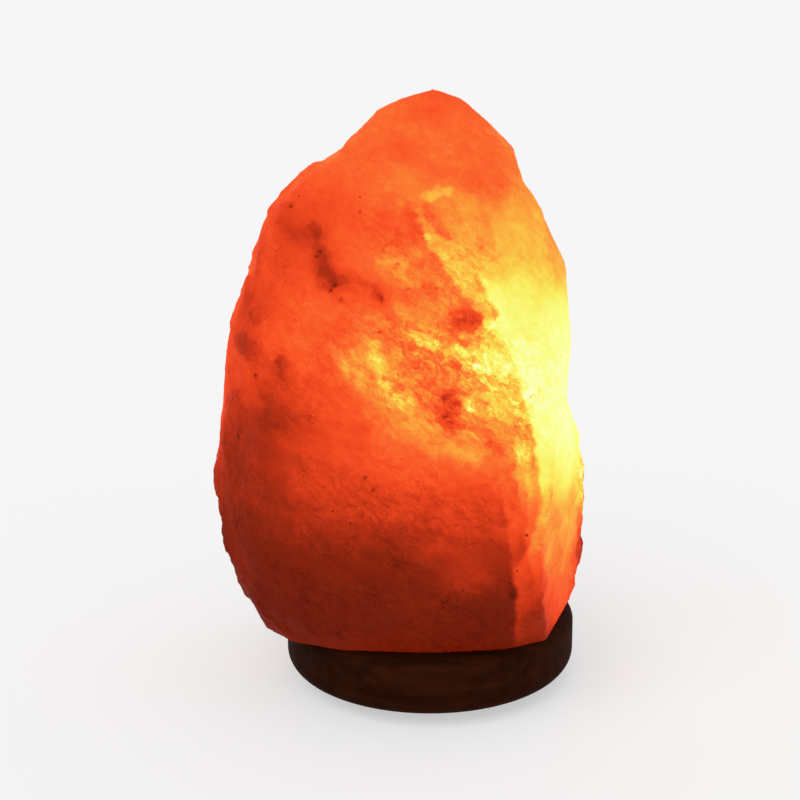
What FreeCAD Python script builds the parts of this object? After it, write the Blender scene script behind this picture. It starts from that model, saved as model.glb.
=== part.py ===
import FreeCAD, Part
import math
import os
import re

import Sketcher

# Salt crystal lamp. A hewn block of rock salt stands on a dark turned wooden base.
# A clip-in lampholder with a small bulb sits in the base's bore, under the crystal's hollow.
# Millimetres, +Z up, the origin on the floor under the middle of the base.
# +X is the lamp's right and -Y its front. The cord channel leaves at the back, +Y.

doc = FreeCAD.newDocument("salt_crystal_lamp")
sheet = doc.addObject("Spreadsheet::Sheet", "Sizes")

SIZES = [
    # wooden base, on its feet
    ("base_radius", 62.5, "outer radius of the turned disc"),
    ("base_thickness", 25, "height of the disc"),
    ("base_top_round", 5, "round of its upper edge"),
    ("base_bottom_round", 8, "round of its lower edge"),
    ("base_bore_radius", 20, "bore that takes the lampholder"),
    ("channel_width", 10, "cord channel in the underside"),
    ("channel_depth", 9, "cord channel in the underside"),
    # rubber feet
    ("foot_height", 4, "a foot's height, which lifts the base"),
    ("foot_radius", 6.5, "a foot's radius"),
    ("foot_edge", 0.8, "bevel of a foot's lower edge"),
    ("foot_circle", 44, "radius of the circle that the feet lie on"),
    ("foot_first_angle", 45, "angle of the first foot from +X"),
    ("foot_pocket_radius", 3.4, "pocket for the screw's head"),
    ("foot_pocket_depth", 2.2, "pocket for the screw's head"),
    ("foot_screw_head_radius", 2.7, "head of a foot's screw"),
    ("foot_screw_head_height", 1.3, "head of a foot's screw"),
    ("foot_screw_shank_radius", 1.2, "shank of a foot's screw"),
    ("foot_screw_length", 8, "shank length of a foot's screw"),
    # screws that hold the crystal
    ("crystal_screw_circle", 34, "radius of the circle that the screws lie on"),
    ("crystal_screw_first_angle", 30, "angle of the first screw from +X"),
    ("crystal_screw_head_radius", 4.2, "head of a crystal screw"),
    ("crystal_screw_head_height", 2.6, "head of a crystal screw"),
    ("crystal_screw_shank_radius", 2.25, "shank of a crystal screw"),
    ("crystal_screw_length", 42, "shank length of a crystal screw"),
    ("crystal_screw_pocket_depth", 9, "pocket in the underside for head and washer"),
    ("washer_radius", 5, "outer radius of a washer"),
    ("washer_thickness", 1, "thickness of a washer"),
    ("screw_tip_length", 4, "pointed end of a crystal screw"),
    ("small_tip_length", 1.5, "pointed end of a foot's screw"),
    ("screw_clearance", 0.15, "play round a screw's shank"),
    ("pocket_clearance", 1, "play round a washer"),
    ("pilot_end_clearance", 2, "depth left past a screw's tip"),
    ("recess_width_share", 0.26, "cross recess: width over head radius"),
    ("recess_span_share", 1.1, "cross recess: span over head radius"),
    ("recess_depth_share", 0.6, "cross recess: depth over head height"),
    # crystal
    ("crystal_squareness", 2.7, "2 is an oval outline, more is squarer"),
    ("crystal_scar_depth", 1.5, "how far the corners between hammer scars stand in and out"),
    ("crystal_scar_shake", 0.14, "how far they stand up and down, over the rise to a level"),
    ("crystal_bore_radius", 23, "hollow for the bulb"),
    ("crystal_bore_depth", 93, "straight part of the hollow"),
    ("crystal_bore_end", 12, "conical end of the hollow"),
    # lampholder
    ("holder_radius", 14, "outer radius of the holder"),
    ("holder_wall", 1.6, "wall of the lower cup"),
    ("holder_floor", 2, "floor of the lower cup"),
    ("cup_foot_height", 17, "underside of the lower cup above the floor"),
    ("cup_height", 12, "height of the lower cup"),
    ("spigot_height", 3, "neck of the cup inside the tube"),
    ("spigot_wall", 1.6, "wall of that neck"),
    ("spigot_root", 2, "depth of the ring that carries the neck"),
    ("tube_wall", 2, "wall of the holder's tube"),
    ("tube_shoulder_height", 18, "wide part of the tube"),
    ("tube_taper", 2, "height of its taper"),
    ("tube_neck_height", 9, "narrow top part of the tube"),
    ("tube_neck_radius", 11, "outer radius of the narrow part"),
    ("holder_mouth_radius", 9.2, "opening at the top"),
    ("ledge_wall", 3.6, "wall of the tube above the ceramic disc"),
    ("fit_clearance", 0.1, "play between the parts of the holder"),
    ("core_height", 6, "ceramic disc"),
    ("barrier_width", 1.6, "rib between the terminals"),
    ("barrier_length", 12, "rib between the terminals"),
    ("barrier_height", 5, "rib between the terminals"),
    # threads of shell and bulb
    ("thread_pitch", 2.82, "pitch of the small screw cap"),
    ("thread_depth", 0.7, "root to crest"),
    ("cap_root_radius", 6.25, "bulb cap at the thread's root"),
    ("cap_wall", 0.3, "sheet of the bulb's cap"),
    ("cap_turns", 3, "rings on the bulb's cap"),
    ("shell_turns", 4, "rings in the shell"),
    ("thread_clearance", 0.25, "play between shell and cap"),
    ("shell_wall", 0.4, "sheet of the shell"),
    ("shell_skirt_radius", 7.8, "outer radius of the shell's straight foot"),
    ("shell_flange_hole", 5, "hole in the shell's floor"),
    # contacts
    ("tongue_thickness", 0.4, "centre contact"),
    ("tongue_width", 3.2, "centre contact"),
    ("tongue_length", 6.6, "centre contact"),
    ("tongue_rise", 2.1, "spring height of the centre contact"),
    ("contact_rivet_radius", 0.8, "shank of a contact rivet"),
    ("contact_rivet_head", 1.1, "head radius of a contact rivet"),
    ("contact_rivet_head_height", 0.7, "head of a contact rivet"),
    ("live_rivet_offset", 3.2, "live rivet left of the middle"),
    ("neutral_rivet_offset", 6.1, "neutral rivet right of the middle"),
    ("terminal_offset", 5, "middle of a terminal from the middle"),
    ("terminal_length", 6.4, "terminal block along X"),
    ("terminal_depth", 4.5, "terminal block along Y"),
    ("terminal_height", 6, "terminal block along Z"),
    ("terminal_rivet_depth", 2, "how far a rivet enters its terminal"),
    ("wire_hole_radius", 1.3, "hole for the wire"),
    ("wire_hole_height", 2.5, "middle of the wire hole above the block's underside"),
    ("terminal_screw_head_radius", 1.8, "clamp screw"),
    ("terminal_screw_head_height", 1.6, "clamp screw"),
    ("terminal_screw_shank_radius", 1.15, "clamp screw"),
    ("rivet_clearance", 0.05, "play round rivets and clamp screws"),
    # cord inlet
    ("inlet_radius", 5, "outer radius of the threaded inlet"),
    ("inlet_bore_radius", 3.6, "bore for the cord"),
    ("inlet_below_cup", 6, "how far the inlet stands out below the cup"),
    ("inlet_collar_radius", 6.5, "collar on the cup's floor"),
    ("inlet_collar_height", 1.5, "collar on the cup's floor"),
    ("nut_across_flats", 13, "nut on the inlet"),
    ("nut_height", 3.5, "nut on the inlet"),
    # clip strap and spring wings
    ("strap_thickness", 0.8, "U-shaped strap"),
    ("strap_width", 12, "U-shaped strap"),
    ("strap_gap", 0.2, "play between strap and holder"),
    ("pivot_above_cup", 26, "the wings' rivets above the cup's underside"),
    ("strap_above_pivot", 3.2, "how far the strap's arms stand above the rivets"),
    ("clip_rivet_radius", 1, "rivet that a wing turns on"),
    ("clip_rivet_head", 2.2, "its head's radius"),
    ("clip_rivet_head_height", 0.8, "its head's height"),
    ("wing_thickness", 0.5, "spring leaf"),
    ("wing_width", 10, "spring leaf"),
    ("wing_gap", 0.35, "play between leaf and strap"),
    ("wing_head_gap", 0.3, "play between leaf and rivet head, and round the rivet"),
    ("wing_above_pivot", 3, "leaf above its rivet"),
    ("wing_straight", 2, "straight leaf below its rivet"),
    ("wing_bore_clearance", 0.3, "play between leaf and the base's bore"),
    ("wing_grip_below_top", 5, "top of the leaf's gripping stretch under the base's top"),
    ("wing_grip_length", 5, "gripping stretch"),
    ("wing_hook_drop", 4, "inward hook at the leaf's end"),
    ("wing_hook_in", 1.1, "inward hook at the leaf's end"),
    # bulb
    ("tip_gap", 0.3, "bulb tip above the centre contact"),
    ("tip_radius", 2.2, "solder tip"),
    ("tip_height", 0.8, "solder tip"),
    ("insulator_end_radius", 3.5, "black glass disc at the tip"),
    ("insulator_cone", 2.6, "its conical part"),
    ("insulator_plug", 1.4, "its part inside the cap"),
    ("cap_collar_step", 1.2, "plain stretch above the rings"),
    ("cap_collar_height", 3.3, "collar at the cap's top"),
    ("cap_collar_radius", 6.8, "collar at the cap's top"),
    ("cement_height", 4, "ring of cement between cap and glass"),
    ("seal_clearance", 0.02, "play on both sides of the cement"),
    ("glass_neck_radius", 5.65, "neck of the glass"),
    ("glass_radius", 13, "widest radius of the glass"),
    ("glass_wall", 0.7, "wall of the glass"),
    ("glass_in_cap", 6, "length of the neck inside the cap"),
    ("glass_widest_height", 21, "widest place above the cap"),
    ("glass_height", 40, "top of the glass above the cap"),
    ("stem_radius", 2.4, "glass stem"),
    ("stem_flare_radius", 4.7, "foot of the stem"),
    ("stem_height", 17, "glass stem"),
    ("filament_spread", 6, "filament's end from the middle"),
    ("filament_height", 26, "filament above the cap"),
    ("filament_radius", 0.35, "coiled filament taken as a thin rod"),
    ("wire_radius", 0.3, "lead and support wires"),
    ("wire_foot_spread", 1.5, "foot of a lead wire from the middle"),
    ("wire_gap", 0.05, "play where thin wires meet"),
]

# The crystal's outline, level by level: rise from the level below (the first stands on the
# base), then the reach to the left, right, front and back of the lamp's axis. The last level
# is the peak, a single point in the middle of its reaches.
CRYSTAL_LEVELS = [
    (0, 73, 62, 54, 57),
    (15, 81.5, 70.5, 60, 63),
    (22, 88.5, 72, 62, 66),
    (24, 90, 66.5, 61, 65),
    (30, 88.5, 58, 58, 61),
    (30, 82.5, 57.5, 52, 56),
    (30, 74.5, 56, 44, 48),
    (25, 65, 43, 34, 38),
    (10, 54, 38.5, 29, 32),
    (10, 37.5, 34, 23, 26),
    (15, 22.5, 21.5, 13, 15),
    (6, 10.5, 13, 7, 8),
    (4, 1.5, 4, 2.5, 2.5),
]
LEVEL_WORDS = ("rise", "left", "right", "front", "back")

# Flat faces broken off the block: compass angle from +X, lean (plus faces up) and distance
# from the point on the axis halfway up the block.
CRYSTAL_FACETS = [
    ("right_lower", -17, -2, 61.5),
    ("right_upper", -35, 17, 62),
    ("front", -97, 9, 53),
    ("front_left", -140, 5, 80),
    ("top_front", -80, 46, 80),
    ("rear", 84, 12, 54),
    ("rear_right", 38, 7, 63),
    ("rear_left", 140, 14, 75),
    ("top_rear", 105, 44, 77.5),
    ("rear_shoulder", 148, 40, 83),
]


def name_sizes():
    """Write every size into the sheet under its own name."""
    rows = [(name, value) for name, value, meaning in SIZES]
    for number, level in enumerate(CRYSTAL_LEVELS):
        for word, value in zip(LEVEL_WORDS, level):
            if number > 0 or word != "rise":
                rows.append((f"crystal_{word}_{number}", value))
    for place, angle, lean, distance in CRYSTAL_FACETS:
        rows.append((f"facet_{place}_angle", angle))
        rows.append((f"facet_{place}_lean", lean))
        rows.append((f"facet_{place}_distance", distance))
    for row, (name, value) in enumerate(rows, start=1):
        sheet.set(f"A{row}", name)
        sheet.set(f"B{row}", str(value))
        sheet.setAlias(f"B{row}", name)
    doc.recompute()


name_sizes()


def size(name):
    """A size's number, for the few shapes that are worked out point by point."""
    return float(sheet.get(name))


def formula(text):
    """A formula in the sheet's names, as an object's property takes it."""
    return re.sub(r"\b([a-z]+_\w+)\b", r"Sizes.\1", text)


# Heights and radii that several pieces share, each a formula in the sheet's names.
BASE_TOP = "foot_height + base_thickness"
SCREW_SEAT = "foot_height + crystal_screw_pocket_depth"
CUP_TOP = "cup_foot_height + cup_height"
CORE_FOOT = f"{CUP_TOP} + spigot_height"
CORE_TOP = f"{CORE_FOOT} + core_height"
TUBE_INSIDE = "holder_radius - tube_wall"
SHELL_FLOOR = f"{CORE_TOP} + shell_wall"
TONGUE_TOP = f"{CORE_TOP} + tongue_rise + tongue_thickness"
TIP_FOOT = f"{TONGUE_TOP} + tip_gap"
INSULATOR_FOOT = f"{TIP_FOOT} + tip_height"
CAP_FOOT = f"{INSULATOR_FOOT} + insulator_cone"
THREAD_FOOT = f"{CAP_FOOT} + 0.4 * thread_depth"
THREAD_TOP = f"{THREAD_FOOT} + cap_turns * thread_pitch"
CAP_TOP = f"{THREAD_TOP} + cap_collar_step + cap_collar_height"
CAP_INSIDE = "cap_root_radius - cap_wall"
TERMINAL_FOOT = f"{CORE_FOOT} - terminal_height"
STRAP_FOOT = "cup_foot_height - strap_thickness"
ARM_INSIDE = "holder_radius + strap_gap"
ARM_OUTSIDE = f"{ARM_INSIDE} + strap_thickness"
WING_INSIDE = f"{ARM_OUTSIDE} + wing_gap"
WING_OUTSIDE = f"{WING_INSIDE} + wing_thickness"
NUT_FOOT = f"{STRAP_FOOT} - nut_height"
PIVOT = "cup_foot_height + pivot_above_cup"
GRIP_TOP = f"{BASE_TOP} - wing_grip_below_top"


def origin_plane(body, role):
    for feature in body.Origin.OriginFeatures:
        if feature.Role == role:
            return feature


def outline_sketch(body, role, corners):
    """A closed outline of straight lines, each corner held at its two formulas."""
    sketch = body.newObject("Sketcher::SketchObject", body.Name + "_outline")
    sketch.AttachmentSupport = [(origin_plane(body, role), "")]
    sketch.MapMode = "FlatFace"
    count = len(corners)
    rough = []
    for number in range(count):
        turn = 2 * math.pi * number / count
        rough.append(FreeCAD.Vector(30 * math.cos(turn), 30 * math.sin(turn), 0))
    for number in range(count):
        sketch.addGeometry(Part.LineSegment(rough[number], rough[(number + 1) % count]))
    for number in range(count):
        following = (number + 1) % count
        sketch.addConstraint(Sketcher.Constraint("Coincident", number, 2, following, 1))
    for number, corner in enumerate(corners):
        for kind, start, text in zip(("DistanceX", "DistanceY"), rough[number], corner):
            held = sketch.addConstraint(Sketcher.Constraint(kind, -1, 1, number, 1, start))
            sketch.setExpression(f"Constraints[{held}]", formula(text))
    return sketch


def place(thing, at):
    for axis, text in zip("xyz", at):
        thing.setExpression(f"Placement.Base.{axis}", formula(text))


def turned(label, corners, at=("0", "0", "0")):
    """A piece turned about its own upright axis from (radius, height) corners."""
    body = doc.addObject("PartDesign::Body", label)
    sketch = outline_sketch(body, "XZ_Plane", corners)
    turn = body.newObject("PartDesign::Revolution", label + "_turn")
    turn.Profile = sketch
    turn.ReferenceAxis = (sketch, ["V_Axis"])
    turn.Angle = 360
    place(body, at)
    return body


def strip(label, corners, width, at=("0", "0", "0")):
    """A piece cut to (x, z) corners, its width taken evenly to front and back."""
    body = doc.addObject("PartDesign::Body", label)
    sketch = outline_sketch(body, "XZ_Plane", corners)
    pad = body.newObject("PartDesign::Pad", label + "_pad")
    pad.Profile = sketch
    pad.SideType = "Symmetric"
    pad.setExpression("Length", formula(width))
    place(body, at)
    return body


def rod(label, radius, length, at, along="z"):
    piece = doc.addObject("Part::Cylinder", label)
    if along == "x":
        piece.Placement.Rotation = FreeCAD.Rotation(FreeCAD.Vector(0, 1, 0), 90)
    if along == "y":
        piece.Placement.Rotation = FreeCAD.Rotation(FreeCAD.Vector(1, 0, 0), -90)
    piece.setExpression("Radius", formula(radius))
    piece.setExpression("Height", formula(length))
    place(piece, at)
    return piece


def block(label, spans, at):
    """A box with these lengths, its lowest corner at the given place."""
    piece = doc.addObject("Part::Box", label)
    for side, text in zip(("Length", "Width", "Height"), spans):
        piece.setExpression(side, formula(text))
    place(piece, at)
    return piece


def joined(label, pieces):
    whole = doc.addObject("Part::MultiFuse", label)
    whole.Shapes = pieces
    return whole


def cut(label, whole, tools):
    """The whole less its tools."""
    result = doc.addObject("Part::Cut", label)
    result.Base = whole
    result.Tool = tools[0] if len(tools) == 1 else joined(label + "_cutters", tools)
    return result


def on_circle(circle, first_angle, number, count, height):
    """A place on a circle round the lamp's axis."""
    angle = f"{first_angle} + {number * 360 / count:g}"
    return (f"{circle} * cos({angle})", f"{circle} * sin({angle})", height)


# Wooden base: a turned disc with a stepped bore for each screw from below.

def base_disc():
    body = turned("base_disc", [
        ("base_bore_radius", "foot_height"),
        ("base_radius", "foot_height"),
        ("base_radius", BASE_TOP),
        ("base_bore_radius", BASE_TOP),
    ])
    doc.recompute()
    for word, height in (("top", size("foot_height") + size("base_thickness")),
                         ("bottom", size("foot_height"))):
        rim = None
        for number, edge in enumerate(body.Shape.Edges, start=1):
            box = edge.BoundBox
            if box.ZLength < 0.001 and abs(box.ZMin - height) < 0.001:
                if abs(box.XMax - size("base_radius")) < 0.001:
                    rim = f"Edge{number}"
        plain = body.Tip
        rounding = body.newObject("PartDesign::Fillet", f"base_{word}_rim")
        rounding.Base = (plain, [rim])
        rounding.setExpression("Radius", formula(f"base_{word}_round"))
        body.Tip = rounding
        doc.recompute()
    return body


CRYSTAL_SCREWS = 3
FEET = 4


def crystal_screw_place(number, height):
    return on_circle("crystal_screw_circle", "crystal_screw_first_angle", number,
                     CRYSTAL_SCREWS, height)


def foot_place(number, height):
    return on_circle("foot_circle", "foot_first_angle", number, FEET, height)


def wooden_base():
    tools = [block(
        "cord_channel",
        ("channel_width", "base_radius + 1", "channel_depth"),
        ("-channel_width / 2", "0", "foot_height"),
    )]
    for number in range(CRYSTAL_SCREWS):
        tools.append(turned(f"crystal_screw_way_{number + 1}", [
            ("0", "0"),
            ("washer_radius + pocket_clearance", "0"),
            ("washer_radius + pocket_clearance", "crystal_screw_pocket_depth"),
            ("crystal_screw_shank_radius + screw_clearance", "crystal_screw_pocket_depth"),
            ("crystal_screw_shank_radius + screw_clearance", "base_thickness"),
            ("0", "base_thickness"),
        ], crystal_screw_place(number, "foot_height")))
    for number in range(FEET):
        tools.append(rod(
            f"foot_screw_pilot_{number + 1}",
            "foot_screw_shank_radius + screw_clearance",
            "foot_screw_length - foot_height + foot_pocket_depth + pilot_end_clearance",
            foot_place(number, "foot_height"),
        ))
    return cut("wooden_base", base_disc(), tools)


wooden_base()


# Salt crystal: levels joined by a smooth skin, flat faces broken off, then bored from below.

CRYSTAL_COLUMNS = 16


def level_reaches(number):
    """How far a level of the crystal reaches to the left, right, front and back."""
    return [size(f"crystal_{word}_{number}") for word in LEVEL_WORDS[1:]]


def level_corners(number, height):
    """Corners round a squarish oval, where the flat hammer scars of the skin meet."""
    left, right, front, back = level_reaches(number)
    power = 2 / size("crystal_squareness")
    turn = 0.5 * (number % 2)
    flat = math.cos(2 * math.pi * turn / CRYSTAL_COLUMNS) ** power
    shake = 0 if number == 0 else size("crystal_scar_shake") * size(f"crystal_rise_{number}")
    corners = []
    for column in range(CRYSTAL_COLUMNS):
        angle = 2 * math.pi * (column + turn) / CRYSTAL_COLUMNS
        across = math.copysign(abs(math.cos(angle)) ** power, math.cos(angle)) / flat
        along = math.copysign(abs(math.sin(angle)) ** power, math.sin(angle)) / flat
        # Corners at the far left and right keep to the outline that is seen from the front.
        push = size("crystal_scar_depth") * min(1, 2 * abs(math.sin(angle)))
        push *= math.sin(12.9 * column + 7.3 * number ** 2)
        corners.append(FreeCAD.Vector(
            across * ((right if across > 0 else left) + push),
            along * ((back if along > 0 else front) + push),
            height + shake * math.sin(5.1 * column + 3.7 * number),
        ))
    return corners


def band_outlines(number, lower, upper):
    """The three-cornered scars between two levels, of which one is turned by half a step."""
    outlines = []
    for column in range(CRYSTAL_COLUMNS):
        following = (column + 1) % CRYSTAL_COLUMNS
        if number % 2 == 0:
            outlines.append([lower[column], lower[following], upper[column]])
            outlines.append([upper[column], lower[following], upper[following]])
        else:
            outlines.append([lower[column], upper[following], upper[column]])
            outlines.append([lower[column], lower[following], upper[following]])
    return outlines


def rough_crystal():
    foot = size("foot_height") + size("base_thickness")
    height = foot
    levels = [level_corners(0, height)]
    last = len(CRYSTAL_LEVELS) - 1
    for number in range(1, last):
        height += size(f"crystal_rise_{number}")
        levels.append(level_corners(number, height))
    height += size(f"crystal_rise_{last}")
    left, right, front, back = level_reaches(last)
    peak = FreeCAD.Vector((right - left) / 2, (back - front) / 2, height)

    outlines = [levels[0]]
    for number, (lower, upper) in enumerate(zip(levels, levels[1:])):
        outlines += band_outlines(number, lower, upper)
    for column, corner in enumerate(levels[-1]):
        outlines.append([corner, levels[-1][(column + 1) % CRYSTAL_COLUMNS], peak])
    faces = [Part.Face(Part.makePolygon(outline + outline[:1])) for outline in outlines]
    skin = Part.makeSolid(Part.makeShell(faces))
    middle = FreeCAD.Vector(0, 0, (foot + height) / 2)
    far = 2 * (height - foot)
    for facet_place, angle, lean, distance in CRYSTAL_FACETS:
        turn = FreeCAD.Rotation(
            FreeCAD.Vector(0, 0, 1), size(f"facet_{facet_place}_angle")
        ).multiply(FreeCAD.Rotation(
            FreeCAD.Vector(0, 1, 0), -size(f"facet_{facet_place}_lean")
        ))
        waste = Part.makeBox(far, 2 * far, 2 * far, FreeCAD.Vector(
            size(f"facet_{facet_place}_distance"), -far, -far
        ))
        waste.Placement = FreeCAD.Placement(middle, turn)
        skin = skin.cut(waste)
    piece = doc.addObject("Part::Feature", "hewn_block")
    piece.Shape = skin
    return piece


def salt_crystal():
    tools = [turned("crystal_hollow", [
        ("0", "0"),
        ("crystal_bore_radius", "0"),
        ("crystal_bore_radius", "crystal_bore_depth"),
        ("0", "crystal_bore_depth + crystal_bore_end"),
    ], ("0", "0", BASE_TOP))]
    for number in range(CRYSTAL_SCREWS):
        tools.append(rod(
            f"crystal_pilot_{number + 1}",
            "crystal_screw_shank_radius + screw_clearance",
            f"{SCREW_SEAT} - washer_thickness + crystal_screw_length"
            f" + pilot_end_clearance - ({BASE_TOP})",
            crystal_screw_place(number, BASE_TOP),
        ))
    return cut("salt_crystal", rough_crystal(), tools)


salt_crystal()


# Screws, washers and feet under the base. Every screw points up, its head below.

def cross_screw(label, sort, length, tip, at):
    """A domed head with a cross recess, and a pointed shank above it."""
    head = f"{sort}_head_radius"
    deep = f"{sort}_head_height"
    shank = f"{sort}_shank_radius"
    whole = turned(label + "_blank", [
        ("0", f"-{deep}"),
        (f"{head} * 0.6", f"-{deep}"),
        (f"{head} * 0.9", f"-{deep} * 0.7"),
        (head, f"-{deep} * 0.3"),
        (head, "0"),
        (shank, "0"),
        (shank, f"{length} - {tip}"),
        (f"{shank} * 0.15", length),
        ("0", length),
    ], at)
    x, y, z = at
    wide = f"{head} * recess_width_share"
    long = f"{head} * recess_span_share"
    deep_cut = f"{deep} * recess_depth_share"
    slots = [
        block(label + "_slot_a", (long, wide, deep_cut),
              (f"{x} - {long} / 2", f"{y} - {wide} / 2", f"{z} - {deep}")),
        block(label + "_slot_b", (wide, long, deep_cut),
              (f"{x} - {wide} / 2", f"{y} - {long} / 2", f"{z} - {deep}")),
    ]
    return cut(label, whole, slots)


for screw in range(CRYSTAL_SCREWS):
    cross_screw(
        f"crystal_screw_{screw + 1}",
        "crystal_screw",
        "crystal_screw_length",
        "screw_tip_length",
        crystal_screw_place(screw, f"{SCREW_SEAT} - washer_thickness"),
    )
    turned(f"crystal_washer_{screw + 1}", [
        ("crystal_screw_shank_radius + screw_clearance", "0"),
        ("washer_radius", "0"),
        ("washer_radius", "washer_thickness"),
        ("crystal_screw_shank_radius + screw_clearance", "washer_thickness"),
    ], crystal_screw_place(screw, f"{SCREW_SEAT} - washer_thickness"))

for foot in range(FEET):
    turned(f"rubber_foot_{foot + 1}", [
        ("foot_pocket_radius", "0"),
        ("foot_radius - foot_edge", "0"),
        ("foot_radius", "foot_edge"),
        ("foot_radius", "foot_height"),
        ("foot_screw_shank_radius + screw_clearance", "foot_height"),
        ("foot_screw_shank_radius + screw_clearance", "foot_pocket_depth"),
        ("foot_pocket_radius", "foot_pocket_depth"),
    ], foot_place(foot, "0"))
    cross_screw(
        f"foot_screw_{foot + 1}",
        "foot_screw",
        "foot_screw_length",
        "small_tip_length",
        foot_place(foot, "foot_pocket_depth"),
    )


# Lampholder: cup, tube, ceramic disc.

turned("bottom_cap", [
    ("inlet_radius + fit_clearance", "cup_foot_height"),
    ("holder_radius", "cup_foot_height"),
    ("holder_radius", CUP_TOP),
    (f"{TUBE_INSIDE} - fit_clearance", CUP_TOP),
    (f"{TUBE_INSIDE} - fit_clearance", CORE_FOOT),
    (f"{TUBE_INSIDE} - fit_clearance - spigot_wall", CORE_FOOT),
    (f"{TUBE_INSIDE} - fit_clearance - spigot_wall", f"{CUP_TOP} - spigot_root"),
    ("holder_radius - holder_wall", f"{CUP_TOP} - 2 * spigot_root"),
    ("holder_radius - holder_wall", "cup_foot_height + holder_floor"),
    ("inlet_radius + fit_clearance", "cup_foot_height + holder_floor"),
])

TUBE_SHOULDER = f"{CUP_TOP} + tube_shoulder_height"
TUBE_NECK = f"{TUBE_SHOULDER} + tube_taper"
TUBE_TOP = f"{TUBE_NECK} + tube_neck_height"
turned("holder_body", [
    (TUBE_INSIDE, CUP_TOP),
    ("holder_radius", CUP_TOP),
    ("holder_radius", TUBE_SHOULDER),
    ("tube_neck_radius", TUBE_NECK),
    ("tube_neck_radius", TUBE_TOP),
    ("holder_mouth_radius", TUBE_TOP),
    ("holder_mouth_radius", TUBE_NECK),
    ("holder_radius - ledge_wall", f"{TUBE_SHOULDER} - tube_taper"),
    ("holder_radius - ledge_wall", CORE_TOP),
    (TUBE_INSIDE, CORE_TOP),
])


def holder_core():
    disc = rod("core_disc", f"{TUBE_INSIDE} - 2 * fit_clearance", "core_height",
               ("0", "0", CORE_FOOT))
    barrier = block(
        "core_barrier",
        ("barrier_width", "barrier_length", "barrier_height + core_height / 2"),
        ("-barrier_width / 2", "-barrier_length / 2", f"{CORE_FOOT} - barrier_height"),
    )
    ways = [
        rod("live_rivet_way", "contact_rivet_radius + rivet_clearance", "core_height + 2",
            ("-live_rivet_offset", "0", f"{CORE_FOOT} - 1")),
        rod("neutral_rivet_way", "contact_rivet_radius + rivet_clearance", "core_height + 2",
            ("neutral_rivet_offset", "0", f"{CORE_FOOT} - 1")),
    ]
    return cut("holder_core", joined("core_blank", [disc, barrier]), ways)


holder_core()


# Screw shell and bulb cap share one thread of rings, so that each fits the other.

def ring_edge(root, turns, foot, upward=True):
    """Corners of a wavy edge: root and crest in turn."""
    corners = []
    for step in range(2 * turns + 1):
        radius = root if step % 2 == 0 else f"{root} + thread_depth"
        corners.append((radius, f"{foot} + {step} * thread_pitch / 2"))
    return corners if upward else corners[::-1]


def screw_shell():
    rings = int(size("shell_turns"))
    lead = int(size("shell_turns") - size("cap_turns"))
    foot = f"{THREAD_FOOT} - {lead} * thread_pitch"
    inner = "cap_root_radius + thread_clearance"
    outer = f"{inner} + shell_wall"
    whole = turned("shell_blank", [
        ("shell_flange_hole", CORE_TOP),
        ("shell_skirt_radius", CORE_TOP),
        ("shell_skirt_radius", f"{foot} - thread_pitch / 2"),
    ] + ring_edge(outer, rings, foot) + ring_edge(inner, rings, foot, upward=False) + [
        ("shell_skirt_radius - shell_wall", f"{foot} - thread_pitch / 2"),
        ("shell_skirt_radius - shell_wall", SHELL_FLOOR),
        ("shell_flange_hole", SHELL_FLOOR),
    ])
    way = rod("shell_rivet_way", "contact_rivet_radius + rivet_clearance",
              "shell_wall * 3", ("neutral_rivet_offset", "0", f"{CORE_TOP} - shell_wall"))
    return cut("screw_shell", whole, [way])


screw_shell()


# Contacts, rivets and terminals.

def centre_contact():
    start = "-live_rivet_offset - contact_rivet_head - 0.1"
    bend = "-live_rivet_offset + contact_rivet_head + 0.4"
    end = f"{start} + tongue_length"
    leaf = strip("tongue_blank", [
        (start, CORE_TOP),
        (bend, CORE_TOP),
        (f"({end} + {bend}) / 2", f"{CORE_TOP} + tongue_rise"),
        (end, f"{CORE_TOP} + tongue_rise"),
        (end, TONGUE_TOP),
        (f"({end} + {bend}) / 2 - tongue_thickness / 2", TONGUE_TOP),
        (f"{bend} - tongue_thickness / 2", f"{CORE_TOP} + tongue_thickness"),
        (start, f"{CORE_TOP} + tongue_thickness"),
    ], "tongue_width")
    way = rod("tongue_rivet_way", "contact_rivet_radius + rivet_clearance",
              "tongue_thickness * 3", ("-live_rivet_offset", "0", f"{CORE_TOP} - tongue_thickness"))
    return cut("centre_contact", leaf, [way])


centre_contact()

for pole, offset, seat in (
    ("live", "-live_rivet_offset", f"{CORE_TOP} + tongue_thickness"),
    ("neutral", "neutral_rivet_offset", SHELL_FLOOR),
):
    turned(f"{pole}_rivet", [
        ("0", f"{CORE_FOOT} - terminal_rivet_depth"),
        ("contact_rivet_radius", f"{CORE_FOOT} - terminal_rivet_depth"),
        ("contact_rivet_radius", seat),
        ("contact_rivet_head", seat),
        ("contact_rivet_head", f"{seat} + contact_rivet_head_height * 0.6"),
        ("contact_rivet_head * 0.6", f"{seat} + contact_rivet_head_height"),
        ("0", f"{seat} + contact_rivet_head_height"),
    ], (offset, "0", "0"))

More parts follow.
